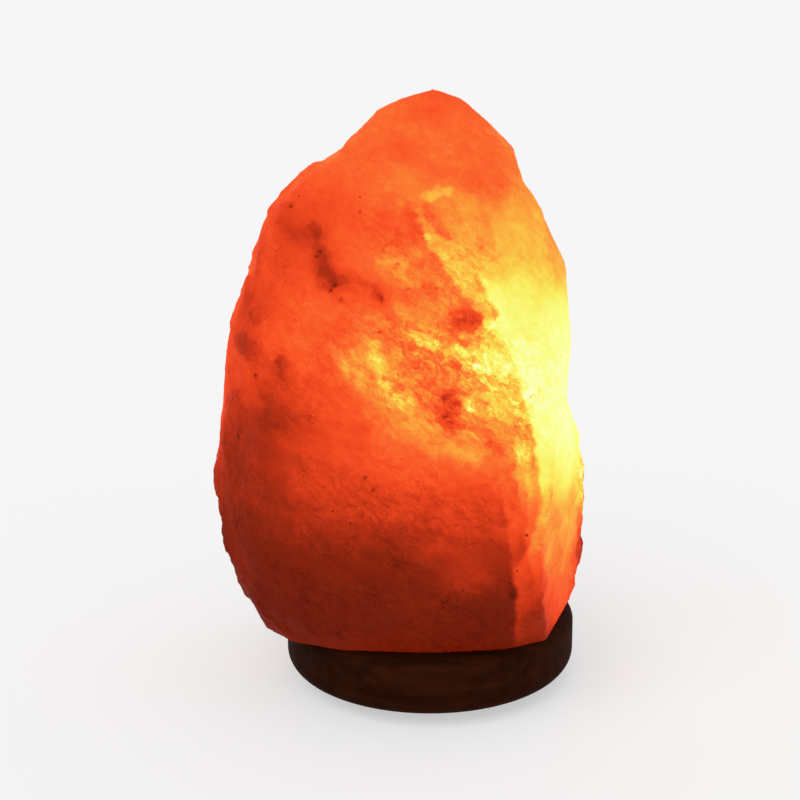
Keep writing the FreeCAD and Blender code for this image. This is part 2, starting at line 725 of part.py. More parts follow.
for pole, side, rivet_offset in (
    ("live", "-1", "-live_rivet_offset"),
    ("neutral", "1", "neutral_rivet_offset"),
):
    middle_x = f"{side} * terminal_offset"
    brick = block(
        f"{pole}_terminal_blank",
        ("terminal_length", "terminal_depth", "terminal_height"),
        (f"{middle_x} - terminal_length / 2", "-terminal_depth / 2", TERMINAL_FOOT),
    )
    cut(f"{pole}_terminal", brick, [
        rod(f"{pole}_terminal_rivet_way", "contact_rivet_radius + rivet_clearance",
            "terminal_rivet_depth + rivet_clearance",
            (rivet_offset, "0", f"{CORE_FOOT} - terminal_rivet_depth - rivet_clearance")),
        rod(f"{pole}_wire_way", "wire_hole_radius", "terminal_depth + 2",
            (middle_x, "-terminal_depth / 2 - 1", f"{TERMINAL_FOOT} + wire_hole_height"), "y"),
        rod(f"{pole}_screw_way", "terminal_screw_shank_radius + rivet_clearance",
            "wire_hole_height", (middle_x, "0", TERMINAL_FOOT)),
    ])
    cross_screw(
        f"{pole}_terminal_screw",
        "terminal_screw",
        "wire_hole_height",
        "wire_hole_radius",
        (middle_x, "0", TERMINAL_FOOT),
    )


# Cord inlet with its nut.

turned("inlet_nipple", [
    ("inlet_bore_radius", "cup_foot_height - inlet_below_cup"),
    ("inlet_radius", "cup_foot_height - inlet_below_cup"),
    ("inlet_radius", "cup_foot_height + holder_floor"),
    ("inlet_collar_radius", "cup_foot_height + holder_floor"),
    ("inlet_collar_radius", "cup_foot_height + holder_floor + inlet_collar_height"),
    ("inlet_bore_radius", "cup_foot_height + holder_floor + inlet_collar_height"),
])


def nipple_nut():
    hexagon = doc.addObject("Part::Prism", "nut_blank")
    hexagon.Polygon = 6
    hexagon.setExpression("Circumradius", formula("nut_across_flats / (2 * cos(30))"))
    hexagon.setExpression("Height", formula("nut_height"))
    place(hexagon, ("0", "0", NUT_FOOT))
    way = rod("nut_way", "inlet_radius + fit_clearance", "nut_height + 2",
              ("0", "0", f"{NUT_FOOT} - 1"))
    return cut("nipple_nut", hexagon, [way])


nipple_nut()


# Clip strap with a spring wing on each side.

def clip_strap():
    top = f"{PIVOT} + strap_above_pivot"
    blank = strip("strap_blank", [
        (f"-({ARM_OUTSIDE})", STRAP_FOOT),
        (ARM_OUTSIDE, STRAP_FOOT),
        (ARM_OUTSIDE, top),
        (ARM_INSIDE, top),
        (ARM_INSIDE, "cup_foot_height"),
        (f"-({ARM_INSIDE})", "cup_foot_height"),
        (f"-({ARM_INSIDE})", top),
        (f"-({ARM_OUTSIDE})", top),
    ], "strap_width")
    ways = [
        rod("strap_inlet_way", "inlet_radius + fit_clearance", "strap_thickness * 3",
            ("0", "0", f"{STRAP_FOOT} - strap_thickness")),
        rod("strap_rivet_way", "clip_rivet_radius + fit_clearance",
            f"2 * ({ARM_OUTSIDE}) + 2", (f"-({ARM_OUTSIDE}) - 1", "0", PIVOT), "x"),
    ]
    return cut("clip_strap", blank, ways)


clip_strap()

for side, hand in (("left", "-1"), ("right", "1")):
    rivet = turned(f"clip_rivet_{side}", [
        ("0", ARM_INSIDE),
        ("clip_rivet_radius", ARM_INSIDE),
        ("clip_rivet_radius", f"{WING_OUTSIDE} + wing_head_gap"),
        ("clip_rivet_head", f"{WING_OUTSIDE} + wing_head_gap"),
        ("clip_rivet_head",
         f"{WING_OUTSIDE} + wing_head_gap + clip_rivet_head_height * 0.5"),
        ("clip_rivet_head * 0.6",
         f"{WING_OUTSIDE} + wing_head_gap + clip_rivet_head_height"),
        ("0", f"{WING_OUTSIDE} + wing_head_gap + clip_rivet_head_height"),
    ])
    rivet.Placement.Rotation = FreeCAD.Rotation(
        FreeCAD.Vector(0, 1, 0), 90 * int(hand)
    )
    place(rivet, ("0", "0", PIVOT))

    # The leaf clears the bore at its corners, so its reach follows the bore and its width.
    reach = ("sqrt((base_bore_radius - wing_bore_clearance)^2"
             " - (wing_width / 2)^2)")
    flare = f"{PIVOT} - wing_straight"
    grip_foot = f"{GRIP_TOP} - wing_grip_length"
    route = [
        (WING_OUTSIDE, f"{PIVOT} + wing_above_pivot"),
        (WING_OUTSIDE, flare),
        (reach, GRIP_TOP),
        (reach, grip_foot),
        (f"{reach} - wing_hook_in", f"{grip_foot} - wing_hook_drop"),
    ]
    back = [(f"{across} - wing_thickness", up) for across, up in reversed(route)]
    corners = [(f"{hand} * ({across})", up) for across, up in route + back]
    leaf = strip(f"wing_blank_{side}", corners, "wing_width")
    way = rod(f"wing_way_{side}", "clip_rivet_radius + wing_head_gap",
              "2 * wing_thickness + 2 * wing_gap",
              (f"{hand} * ({WING_INSIDE} + wing_thickness / 2) - wing_thickness - wing_gap",
               "0", PIVOT), "x")
    cut(f"spring_wing_{side}", leaf, [way])


# Bulb: tip, insulator, cap and cement.

turned("cap_tip", [
    ("0", TIP_FOOT),
    ("tip_radius * 0.7", TIP_FOOT),
    ("tip_radius", f"{TIP_FOOT} + tip_height * 0.5"),
    ("tip_radius", INSULATOR_FOOT),
    ("0", INSULATOR_FOOT),
])

turned("cap_insulator", [
    ("0", INSULATOR_FOOT),
    ("insulator_end_radius", INSULATOR_FOOT),
    (f"{CAP_INSIDE} - seal_clearance", CAP_FOOT),
    (f"{CAP_INSIDE} - seal_clearance", f"{CAP_FOOT} + insulator_plug"),
    ("0", f"{CAP_FOOT} + insulator_plug"),
])

turned("bulb_cap", [
    (CAP_INSIDE, CAP_FOOT),
    ("cap_root_radius - cap_wall / 2", CAP_FOOT),
] + ring_edge("cap_root_radius", int(size("cap_turns")), THREAD_FOOT) + [
    ("cap_root_radius", f"{CAP_TOP} - cap_collar_height"),
    ("cap_collar_radius", f"{CAP_TOP} - cap_collar_height + thread_depth"),
    ("cap_collar_radius", CAP_TOP),
    (CAP_INSIDE, CAP_TOP),
])

turned("basing_cement", [
    ("glass_neck_radius + seal_clearance", f"{CAP_TOP} - cement_height"),
    (f"{CAP_INSIDE} - seal_clearance", f"{CAP_TOP} - cement_height"),
    (f"{CAP_INSIDE} - seal_clearance", CAP_TOP),
    ("glass_neck_radius + seal_clearance", CAP_TOP),
])


# Glass: one smooth pear-shaped profile, with the same profile inside by its wall.

def cap_top():
    """Height of the bulb cap's top edge above the floor."""
    height = size("cup_foot_height") + size("cup_height")
    for name in ("spigot_height", "core_height", "tongue_rise", "tongue_thickness",
                 "tip_gap", "tip_height", "insulator_cone"):
        height += size(name)
    height += 0.4 * size("thread_depth")
    height += size("cap_turns") * size("thread_pitch")
    return height + size("cap_collar_step") + size("cap_collar_height")


def pear_face(inset):
    """Half the pear's section, drawn in by the inset."""
    neck = size("glass_neck_radius") - inset
    belly = size("glass_radius") - inset
    foot = cap_top() - size("glass_in_cap") + inset
    top = cap_top() + size("glass_height") - inset
    widest = cap_top() + size("glass_widest_height")
    straight = cap_top() + size("thread_pitch")
    side = Part.BSplineCurve()
    side.interpolate(
        Points=[
            FreeCAD.Vector(neck, 0, straight),
            FreeCAD.Vector((neck + belly) / 2, 0, (straight + widest) / 2 - 1),
            FreeCAD.Vector(belly, 0, widest),
            FreeCAD.Vector(belly * math.cos(math.pi / 4), 0,
                           widest + (top - widest) * math.sin(math.pi / 4)),
            FreeCAD.Vector(0, 0, top),
        ],
        InitialTangent=FreeCAD.Vector(0, 0, 1),
        FinalTangent=FreeCAD.Vector(-1, 0, 0),
    )
    edges = [
        Part.makeLine((0, 0, foot), (neck, 0, foot)),
        Part.makeLine((neck, 0, foot), (neck, 0, straight)),
        side.toShape(),
        Part.makeLine((0, 0, top), (0, 0, foot)),
    ]
    return Part.Face(Part.Wire(edges))


def bulb_glass():
    axis = (FreeCAD.Vector(0, 0, 0), FreeCAD.Vector(0, 0, 1), 360)
    outside = pear_face(0).revolve(*axis)
    inside = pear_face(size("glass_wall")).revolve(*axis)
    foot = cap_top() - size("glass_in_cap")
    # The neck is open below, where the stem's foot closes it.
    mouth = Part.makeCylinder(
        size("stem_flare_radius") + size("seal_clearance"),
        2 * size("glass_wall"),
        FreeCAD.Vector(0, 0, foot - size("glass_wall") / 2),
    )
    piece = doc.addObject("Part::Feature", "bulb_glass")
    piece.Shape = outside.cut(inside).cut(mouth)
    return piece


bulb_glass()

GLASS_FOOT = f"{CAP_TOP} - glass_in_cap"
STEM_TOP = f"{GLASS_FOOT} + stem_height"
turned("glass_stem", [
    ("0", GLASS_FOOT),
    ("stem_flare_radius", GLASS_FOOT),
    ("stem_flare_radius", f"{GLASS_FOOT} + glass_wall"),
    ("stem_radius", f"{GLASS_FOOT} + stem_height / 4"),
    ("stem_radius", STEM_TOP),
    ("0", STEM_TOP),
])


def thin_rod(label, start, end, radius):
    """A straight wire between two points."""
    run = end - start
    piece = doc.addObject("Part::Feature", label)
    piece.Shape = Part.makeCylinder(radius, run.Length, start, run)
    return piece


def bulb_wires():
    stem_top = cap_top() - size("glass_in_cap") + size("stem_height")
    filament = cap_top() + size("filament_height")
    gap = size("wire_gap")
    wire = size("wire_radius")
    spread = size("filament_spread")
    for side, hand in (("left", -1), ("right", 1)):
        foot = FreeCAD.Vector(hand * size("wire_foot_spread"), 0, stem_top)
        head = FreeCAD.Vector(hand * (spread + size("filament_radius") + wire), 0, filament)
        run = (head - foot).normalize()
        # The slanted foot clears the stem's flat top.
        thin_rod(f"lead_wire_{side}", foot + run * (wire + gap), head, wire)
    thin_rod(
        "filament_support",
        FreeCAD.Vector(0, 0, stem_top + gap),
        FreeCAD.Vector(0, 0, filament - size("filament_radius") - gap),
        wire,
    )
    thin_rod(
        "filament",
        FreeCAD.Vector(-spread + gap, 0, filament),
        FreeCAD.Vector(spread - gap, 0, filament),
        size("filament_radius"),
    )


bulb_wires()

doc.recompute()

NODES = ["wooden_base", "salt_crystal"]
for number in range(1, CRYSTAL_SCREWS + 1):
    NODES += [f"crystal_screw_{number}", f"crystal_washer_{number}"]
for number in range(1, FEET + 1):
    NODES += [f"rubber_foot_{number}", f"foot_screw_{number}"]
NODES += ["bottom_cap", "holder_body", "holder_core", "screw_shell", "centre_contact"]
for pole in ("live", "neutral"):
    NODES += [f"{pole}_rivet", f"{pole}_terminal", f"{pole}_terminal_screw"]
NODES += ["inlet_nipple", "nipple_nut", "clip_strap"]
for side in ("left", "right"):
    NODES += [f"clip_rivet_{side}", f"spring_wing_{side}"]
NODES += ["cap_tip", "cap_insulator", "bulb_cap", "basing_cement", "bulb_glass", "glass_stem"]
NODES += ["lead_wire_left", "lead_wire_right", "filament_support", "filament"]

for thing in doc.Objects:
    if "Invalid" in thing.State or "Error" in thing.State:
        raise SystemExit(f"{thing.Name}: {thing.State}")

os.makedirs("parts", exist_ok=True)
for node in NODES:
    shape = doc.getObject(node).Shape
    if shape.isNull() or not shape.isValid() or len(shape.Solids) != 1:
        raise SystemExit(f"{node}: {len(shape.Solids)} solids, valid {shape.isValid()}")
    shape.exportStep(f"parts/{node}.step")
print(f"{len(NODES)} nodes")
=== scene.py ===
# %% [markdown]
# # A salt crystal lamp
# The lamp is one hewn block of rock salt on a dark turned wooden base. A small bulb in a
# hollow lights the block from inside. The engineering solids are already in place, and this
# lesson dresses them: it gives every solid its finish, and stands a chipped, glowing crystal
# where the plain one is. Lengths are metres, +Z is up and the lamp's front faces -Y.

# %% Load the frame
import math

import bpy
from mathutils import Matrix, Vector, noise


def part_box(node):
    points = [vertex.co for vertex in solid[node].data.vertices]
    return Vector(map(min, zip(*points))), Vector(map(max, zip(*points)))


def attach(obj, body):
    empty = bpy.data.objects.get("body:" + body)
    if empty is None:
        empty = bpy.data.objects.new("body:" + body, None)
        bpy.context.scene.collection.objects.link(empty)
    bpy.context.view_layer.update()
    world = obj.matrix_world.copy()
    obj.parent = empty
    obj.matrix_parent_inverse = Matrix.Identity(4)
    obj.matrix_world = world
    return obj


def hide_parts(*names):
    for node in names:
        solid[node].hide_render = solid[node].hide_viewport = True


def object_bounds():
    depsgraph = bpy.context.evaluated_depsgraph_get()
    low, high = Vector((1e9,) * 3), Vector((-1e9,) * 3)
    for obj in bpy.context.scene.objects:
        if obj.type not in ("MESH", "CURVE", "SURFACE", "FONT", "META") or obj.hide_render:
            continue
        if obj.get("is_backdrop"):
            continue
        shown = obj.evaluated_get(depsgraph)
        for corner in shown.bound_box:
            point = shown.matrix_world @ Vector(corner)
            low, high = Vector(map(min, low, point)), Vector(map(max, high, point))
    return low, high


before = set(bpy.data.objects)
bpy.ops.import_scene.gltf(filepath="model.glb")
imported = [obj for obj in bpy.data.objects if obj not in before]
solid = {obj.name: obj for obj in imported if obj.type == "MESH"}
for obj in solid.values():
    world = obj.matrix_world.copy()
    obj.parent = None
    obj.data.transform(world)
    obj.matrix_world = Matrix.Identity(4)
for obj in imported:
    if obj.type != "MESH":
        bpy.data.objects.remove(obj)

solid_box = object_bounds()
print("solids:", len(solid), "box:", solid_box)

# %% [markdown]
# ## Camera
# The photograph is taken from straight in front and a little above. The round base shows how
# much: its top is an oval, and the oval's height over its width gives the angle. A camera 0.6 m
# away, pitched down by 14 degrees, draws that oval. The lamp stands a little right of the
# picture's middle, which a small sideways shift of the lens gives without turning the camera.

# %% Photograph's camera
MM = 0.001
EYE_DISTANCE, EYE_HEIGHT = 600 * MM, 269.9 * MM
DEGREES_DOWN = 13.93
FOCAL_LENGTH, SENSOR_WIDTH = 65.64, 36.0
SHIFT_SIDEWAYS = -0.0375

lens = bpy.data.cameras.new("photo_camera")
lens.sensor_width = SENSOR_WIDTH
lens.lens = FOCAL_LENGTH
lens.shift_x = SHIFT_SIDEWAYS
lens.clip_start = 0.01
lens.clip_end = 50.0
camera = bpy.data.objects.new("photo_camera", lens)
camera.location = (0.0, -EYE_DISTANCE, EYE_HEIGHT)
camera.rotation_euler = (math.radians(90 - DEGREES_DOWN), 0.0, 0.0)
bpy.context.scene.collection.objects.link(camera)
bpy.context.scene.camera = camera
print("camera at", tuple(round(v, 4) for v in camera.location))

# %% [markdown]
# ## Floor and light
# A plain pale floor and a pale surround keep all attention on the lamp. The floor is a very
# wide plane, so that its far edge is lost in the surround's own grey. The eye sees it partly as
# a light table, which shines in that grey by itself, so the lamp's shadow stays faint. Two lights
# are enough: the surround itself, which is soft from all sides, and one broad sun from the upper
# left.

# %% Colours as numbers
def from_screen(red, green, blue, alpha=1.0):
    """A colour as a screen shows it, from 0 to 255, in the linear light that shaders use."""
    def straight(value):
        value = value / 255
        return value / 12.92 if value <= 0.04045 else ((value + 0.055) / 1.055) ** 2.4
    return (straight(red), straight(green), straight(blue), alpha)


# %% Rays that see
def seeing_rays(tree):
    """1 for a ray from the eye, or one that gloss or clear glass sends on, else 0."""
    path = tree.nodes.new("ShaderNodeLightPath")
    seen = path.outputs["Is Camera Ray"]
    for other in ("Is Glossy Ray", "Is Transmission Ray"):
        either = tree.nodes.new("ShaderNodeMath")
        either.operation = "MAXIMUM"
        tree.links.new(seen, either.inputs[0])
        tree.links.new(path.outputs[other], either.inputs[1])
        seen = either.outputs[0]
    return seen


# %% Pale floor
PALE_GREY = from_screen(246, 246, 246)
FLOOR_PAINT = (0.932, 0.932, 0.932, 1)
FLOOR_GAP = 0.02 * MM
LIGHT_TABLE_SHARE = 0.55


def pale_floor(reach=12.0):
    mesh = bpy.data.meshes.new("pale_floor")
    mesh.from_pydata(
        [(-reach, -reach, 0), (reach, -reach, 0), (reach, reach, 0), (-reach, reach, 0)],
        [], [(0, 1, 2, 3)],
    )
    floor = bpy.data.objects.new("pale_floor", mesh)
    bpy.context.scene.collection.objects.link(floor)
    floor.location.z = -FLOOR_GAP
    coat = bpy.data.materials.new("pale_floor")
    coat.use_nodes = True
    tree = coat.node_tree
    shader = tree.nodes["Principled BSDF"]
    shader.inputs["Base Color"].default_value = FLOOR_PAINT
    shader.inputs["Roughness"].default_value = 0.9
    shader.inputs["Specular IOR Level"].default_value = 0.0
    glow = tree.nodes.new("ShaderNodeEmission")
    glow.inputs["Color"].default_value = PALE_GREY
    share = tree.nodes.new("ShaderNodeMath")
    share.operation = "MULTIPLY"
    share.inputs[1].default_value = LIGHT_TABLE_SHARE
    mix = tree.nodes.new("ShaderNodeMixShader")
    tree.links.new(seeing_rays(tree), share.inputs[0])
    tree.links.new(share.outputs[0], mix.inputs["Fac"])
    tree.links.new(shader.outputs["BSDF"], mix.inputs[1])
    tree.links.new(glow.outputs["Emission"], mix.inputs[2])
    tree.links.new(mix.outputs["Shader"], tree.nodes["Material Output"].inputs["Surface"])
    mesh.materials.append(coat)
    floor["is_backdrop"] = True
    return floor


print("floor:", pale_floor().name)

# %% Soft surround and one broad sun
def soft_surround(seen, lit):
    """A world that looks seen to the eye and in reflections, and lights the scene as lit."""
    world = bpy.data.worlds.new("soft_surround")
    bpy.context.scene.world = world
    world.use_nodes = True
    tree = world.node_tree
    mix = tree.nodes.new("ShaderNodeMix")
    mix.data_type = "RGBA"
    mix.inputs["A"].default_value = (lit, lit, lit, 1)
    mix.inputs["B"].default_value = seen
    tree.links.new(seeing_rays(tree), mix.inputs["Factor"])
    tree.links.new(mix.outputs["Result"], tree.nodes["Background"].inputs["Color"])
    tree.nodes["Background"].inputs["Strength"].default_value = 1.0


SURROUND_LIGHT, SUN_LIGHT = 0.80, 0.74
SUN_BREADTH = math.radians(50)
soft_surround(seen=PALE_GREY, lit=SURROUND_LIGHT)

sun = bpy.data.lights.new("broad_sun", "SUN")
sun.energy = SUN_LIGHT
sun.angle = SUN_BREADTH
sun_stand = bpy.data.objects.new("broad_sun", sun)
sun_stand.rotation_euler = (math.radians(28), math.radians(-24), 0)
bpy.context.scene.collection.objects.link(sun_stand)
bpy.context.scene.view_settings.view_transform = "Standard"
print("light: surround", SURROUND_LIGHT, "sun", SUN_LIGHT)

# %% [markdown]
# ## Building a finish
# A finish is a small network of nodes. Every one here starts from the place on the object in
# metres, so that grain, specks and scratches have a real size and need no unwrapping. A short
# helper for each kind of node keeps the recipes readable.

# %% Node helpers
class Finish:
    """A material under construction, measured in metres on the object."""

    def __init__(self, name):
        self.material = bpy.data.materials.new(name)
        self.material.use_nodes = True
        self.tree = self.material.node_tree
        self.shader = self.tree.nodes["Principled BSDF"]
        self.place = self.tree.nodes.new("ShaderNodeTexCoord").outputs["Object"]

    def join(self, source, target):
        self.tree.links.new(source, target)

    def set(self, **values):
        """Constant sockets of the shader, by their names with _ for a space."""
        for name, value in values.items():
            self.shader.inputs[name.replace("_", " ")].default_value = value

    def stretched(self, scale, turn=(0, 0, 0), at=None):
        """The place, turned by degrees and then scaled along each axis."""
        turned = self.tree.nodes.new("ShaderNodeMapping")
        turned.inputs["Rotation"].default_value = [math.radians(angle) for angle in turn]
        scaled = self.tree.nodes.new("ShaderNodeMapping")
        scaled.inputs["Scale"].default_value = scale
        self.join(at or self.place, turned.inputs["Vector"])
        self.join(turned.outputs["Vector"], scaled.inputs["Vector"])
        return scaled.outputs["Vector"]

    def wandered(self, scale, reach):
        """The place, pushed about by up to half of reach metres by slow clouds."""
        drift = self.tree.nodes.new("ShaderNodeTexNoise")
        drift.inputs["Scale"].default_value = scale
        drift.inputs["Detail"].default_value = 3
        push = self.tree.nodes.new("ShaderNodeVectorMath")
        push.operation = "SCALE"
        push.inputs["Scale"].default_value = reach
        whole = self.tree.nodes.new("ShaderNodeVectorMath")
        whole.operation = "ADD"
        self.join(self.place, drift.inputs["Vector"])
        self.join(drift.outputs["Color"], push.inputs[0])
        self.join(self.place, whole.inputs[0])
        self.join(push.outputs[0], whole.inputs[1])
        return whole.outputs[0]

    def clouds(self, scale, detail=4.0, rough=0.55, twist=0.0, at=None):
        node = self.tree.nodes.new("ShaderNodeTexNoise")
        node.inputs["Scale"].default_value = scale
        node.inputs["Detail"].default_value = detail
        node.inputs["Roughness"].default_value = rough
        node.inputs["Distortion"].default_value = twist
        self.join(at or self.place, node.inputs["Vector"])
        return node.outputs["Fac"]

    def cells(self, scale, feature="F1", at=None):
        node = self.tree.nodes.new("ShaderNodeTexVoronoi")
        node.feature = feature
        node.inputs["Scale"].default_value = scale
        self.join(at or self.place, node.inputs["Vector"])
        return node.outputs["Distance"]

    def chance_in_cells(self, at):
        """A number from 0 to 1 that is the same all over a cell."""
        node = self.tree.nodes.new("ShaderNodeTexVoronoi")
        node.inputs["Scale"].default_value = 1.0
        parts = self.tree.nodes.new("ShaderNodeSeparateColor")
        self.join(at, node.inputs["Vector"])
        self.join(node.outputs["Color"], parts.inputs["Color"])
        return parts.outputs["Red"]

    def stored(self, name):
        """A number kept on the points of the mesh."""
        node = self.tree.nodes.new("ShaderNodeAttribute")
        node.attribute_name = name
        return node.outputs["Fac"]

    def sum(self, kind, first, second):
        """One step of arithmetic between sockets or numbers."""
        node = self.tree.nodes.new("ShaderNodeMath")
        node.operation = kind
        for value, socket in ((first, node.inputs[0]), (second, node.inputs[1])):
            if isinstance(value, (int, float)):
                socket.default_value = value
            else:
                self.join(value, socket)
        return node.outputs[0]

    def between(self, value, low, high, to_low=0.0, to_high=1.0):
        """A value's stretch from low to high, laid out from to_low to to_high."""
        node = self.tree.nodes.new("ShaderNodeMapRange")
        node.inputs["From Min"].default_value = low
        node.inputs["From Max"].default_value = high
        node.inputs["To Min"].default_value = to_low
        node.inputs["To Max"].default_value = to_high
        self.join(value, node.inputs["Value"])
        return node.outputs["Result"]

    def ramp(self, value, stops):
        """Colours along a value: (position, colour) stops."""
        node = self.tree.nodes.new("ShaderNodeValToRGB")
        bar = node.color_ramp
        while len(bar.elements) < len(stops):
            bar.elements.new(0.5)
        for element, (position, colour) in zip(bar.elements, stops):
            element.position = position
            element.color = colour
        self.join(value, node.inputs["Fac"])
        return node.outputs["Color"]

    def relief(self, height, depth, strength=1.0):
        """Small bumps, depth metres high, from a height of 0 to 1."""
        node = self.tree.nodes.new("ShaderNodeBump")
        node.inputs["Strength"].default_value = strength
        node.inputs["Distance"].default_value = depth
        self.join(height, node.inputs["Height"])
        self.join(node.outputs["Normal"], self.shader.inputs["Normal"])


def dress(finish, *names):
    """Give solids their finish."""
    for name in names:
        mesh = solid[name].data
        mesh.materials.clear()
        mesh.materials.append(finish.material)
    print(finish.material.name, "on", len(names), "solids")


# %% [markdown]
# ## The crystal's shape
# Rock salt is split from a wall of the mine and knocked to shape with a hammer. Each blow takes
# off a flake and leaves a shallow, nearly flat scar, so the skin is a patchwork of tilted scars
# with low steps between them. The plain solid already has the block's outline, its broken faces
# and the broad scars. It is copied, given an even skin of small faces, and then each point
# outside is moved along its normal for the finer scars and slow swells. The flat foot and the
# bored hollow stay as they were cut.

# %% An even skin over the plain block
def even_skin(name, source, spacing):
    """A copy of a solid's mesh with faces of one size."""
    piece = bpy.data.objects.new(name, source.data.copy())
    piece.data.materials.clear()
    bpy.context.scene.collection.objects.link(piece)
    bpy.ops.object.select_all(action="DESELECT")
    piece.select_set(True)
    bpy.context.view_layer.objects.active = piece
    remesh = piece.modifiers.new("even", "REMESH")
    remesh.mode = "VOXEL"
    remesh.voxel_size = spacing
    soften = piece.modifiers.new("soften", "SMOOTH")
    soften.factor = 0.5
    soften.iterations = 3
    bpy.ops.object.modifier_apply(modifier="even")
    bpy.ops.object.modifier_apply(modifier="soften")
    return piece


SKIN_SPACING = 0.95 * MM
crystal = even_skin("chipped_crystal", solid["salt_crystal"], SKIN_SPACING)
print("crystal points:", len(crystal.data.vertices))

# %% [markdown]
# Two kinds of chance make the skin. Noise changes slowly from place to place, which suits the
# swells. The scars need something that is even inside a scar and jumps at its edge: scattered
# points, each with a tilt and a level of its own, where every place on the skin belongs to the
# point nearest to it. The place is pushed about by noise first, so that no edge is straight.

# %% Swells and hammer scars
FOOT_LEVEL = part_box("salt_crystal")[0][2]
HOLLOW_RADIUS = 23 * MM
HOLLOW_TOP = 135 * MM
EDGE_SHARE = 0.14
BROAD_SCAR, SMALL_SCAR, GRIT = 13 * MM, 6.5 * MM, 2.4 * MM
# How high one step between scars is, and the grit, in millimetres.
BROAD_STEP, SMALL_STEP, GRIT_HEIGHT = 1.1, 0.7, 0.12


def wander(point, spread):
    """Three slow numbers around 0 for a place."""
    place = point / spread
    return Vector((
        noise.noise(place),
        noise.noise(place + Vector((5, 5, 5))),
        noise.noise(place + Vector((9, 2, 8))),
    ))


def scars(point, size, tilt):
    """The level of tilted scars of about this size, around 0, in units of one step."""
    distances, centres = noise.voronoi(point / size)
    levels = []
    for centre in centres[:2]:
        chance = noise.cell_vector(centre * 9.7) - Vector((0.5, 0.5, 0.5))
        levels.append(chance.x + tilt * (point / size - centre).dot(chance))
    share = min(1.0, (distances[1] - distances[0]) / EDGE_SHARE)
    return levels[0] * (0.5 + 0.5 * share) + levels[1] * (0.5 - 0.5 * share)


def swell_height(point):
    return (0.6 * noise.noise(point / (38 * MM))
            + 0.6 * noise.noise(point / (17 * MM) + Vector((7, 1, 4)))) * MM


def step(value, width):
    """A soft step from 0 to 1 as a value passes 0."""
    return 1 / (1 + math.exp(max(-40, min(40, -value / width))))


def scar_height(point):
    bent = point + wander(point, 9 * MM) * 5 * MM + wander(point, 3 * MM) * 1.4 * MM
    broad = BROAD_STEP * scars(bent, BROAD_SCAR, 1.2)
    small = SMALL_STEP * scars(bent, SMALL_SCAR, 1.0)
    height = broad + small + GRIT_HEIGHT * noise.noise(point / GRIT)
    # The upper right was split clean, so its scars are shallower.
    calm = 0.55 * step(point.z / MM - 118, 10) * step(point.x / MM + 40, 10)
    return height * (1 - calm) * MM


# %% Chip the block
FOOT_MARGIN, FOOT_FADE = 0.6 * MM, 5 * MM


def in_hollow(point, margin):
    """Whether a place is in the bored hollow or within a margin round it."""
    return math.hypot(point.x, point.y) < HOLLOW_RADIUS + margin and point.z < HOLLOW_TOP


def outside_share(point):
    """0 on the flat foot and in the hollow, 1 on the hewn skin."""
    if in_hollow(point, 3 * MM):
        return 0.0
    return max(0.0, min(1.0, (point.z - FOOT_LEVEL - FOOT_MARGIN) / FOOT_FADE))


def chip(piece):
    """Move the skin in and out, and keep how far the scars moved each point."""
    mesh = piece.data
    normals = [vertex.normal.copy() for vertex in mesh.vertices]
    moved = []
    for vertex, normal in zip(mesh.vertices, normals):
        share = outside_share(vertex.co)
        scar = scar_height(vertex.co) * share
        vertex.co += normal * (swell_height(vertex.co) * share + scar)
        if abs(vertex.co.z - FOOT_LEVEL) < 0.8 * MM and share == 0:
            vertex.co.z = FOOT_LEVEL
        moved.append(scar)
    for face in mesh.polygons:
        face.use_smooth = True
    mesh.update()
    return moved


scar_moves = chip(crystal)
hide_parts("salt_crystal")
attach(crystal, "base_and_crystal")
print("scars from", round(min(scar_moves) / MM, 2), "to", round(max(scar_moves) / MM, 2), "mm")

# %% [markdown]
# ## The crystal's glow
# Salt lets light through, but the light scatters and reddens on its way. Where the block is
# thin it shines yellow-white, and where it is thick or stands in the lampholder's shade it is a
# deep red. That could be left to a renderer's volume scattering, which is slow and noisy, and
# which other programs can't show. Here the light that arrives is worked out once for every
# point of the skin, as one number from 0, dark, to 1, white hot, and a colour ramp turns the
# number into the colour of salt. In this block the light comes out strongest on the right,
# where a face has been split off close to the hollow. The edge of that split is a sharp border:
# to its left the salt is thicker, and darker all at once.

# %% Light that arrives at a point
LAMP_PLACE = Vector((-12.5, 0, 94.5)) * MM
# The light of salt close to the lamp, and how much of it each stretch of salt takes.
LIGHT_AT_LAMP = 1.54
LOST_PER_STRETCH, STRETCH = 0.73, 50 * MM
# The block is thicker towards the front and the back than its outline shows.
EXTRA_DEPTH, FULL_DEPTH = 20 * MM, 30 * MM
FOOT_SHADE, SHADE_TOP = 0.34, 76
SPLIT_FACE = Vector((55.5, -45, 126)) * MM
SPLIT_REACH = Vector((48, 105, 90)) * MM
SPLIT_TURN = math.radians(14)
SPLIT_LIGHT = 0.8
# The split's edge, as (height, sideways, how much darker it is to the left of it).
SPLIT_EDGE = [
    (30, 34, 0.08), (47, 34, 0.12), (66, 33, 0.14), (78, 39.5, 0.24), (93, 43.7, 0.30),
    (108, 41.6, 0.26), (123, 39.5, 0.26), (137, 35, 0.18), (152, 31, 0.10), (161, 24, 0.08),
    (175, 18, 0.06), (190, 10, 0.0),
]


def along_edge(height):
    """The split edge's sideways place, and the step in light across it, at a height."""
    for low, high in zip(SPLIT_EDGE, SPLIT_EDGE[1:]):
        if height <= high[0]:
            share = max(0.0, (height - low[0]) / (high[0] - low[0]))
            return [a + (b - a) * share for a, b in zip(low[1:], high[1:])]
    return SPLIT_EDGE[-1][1:]


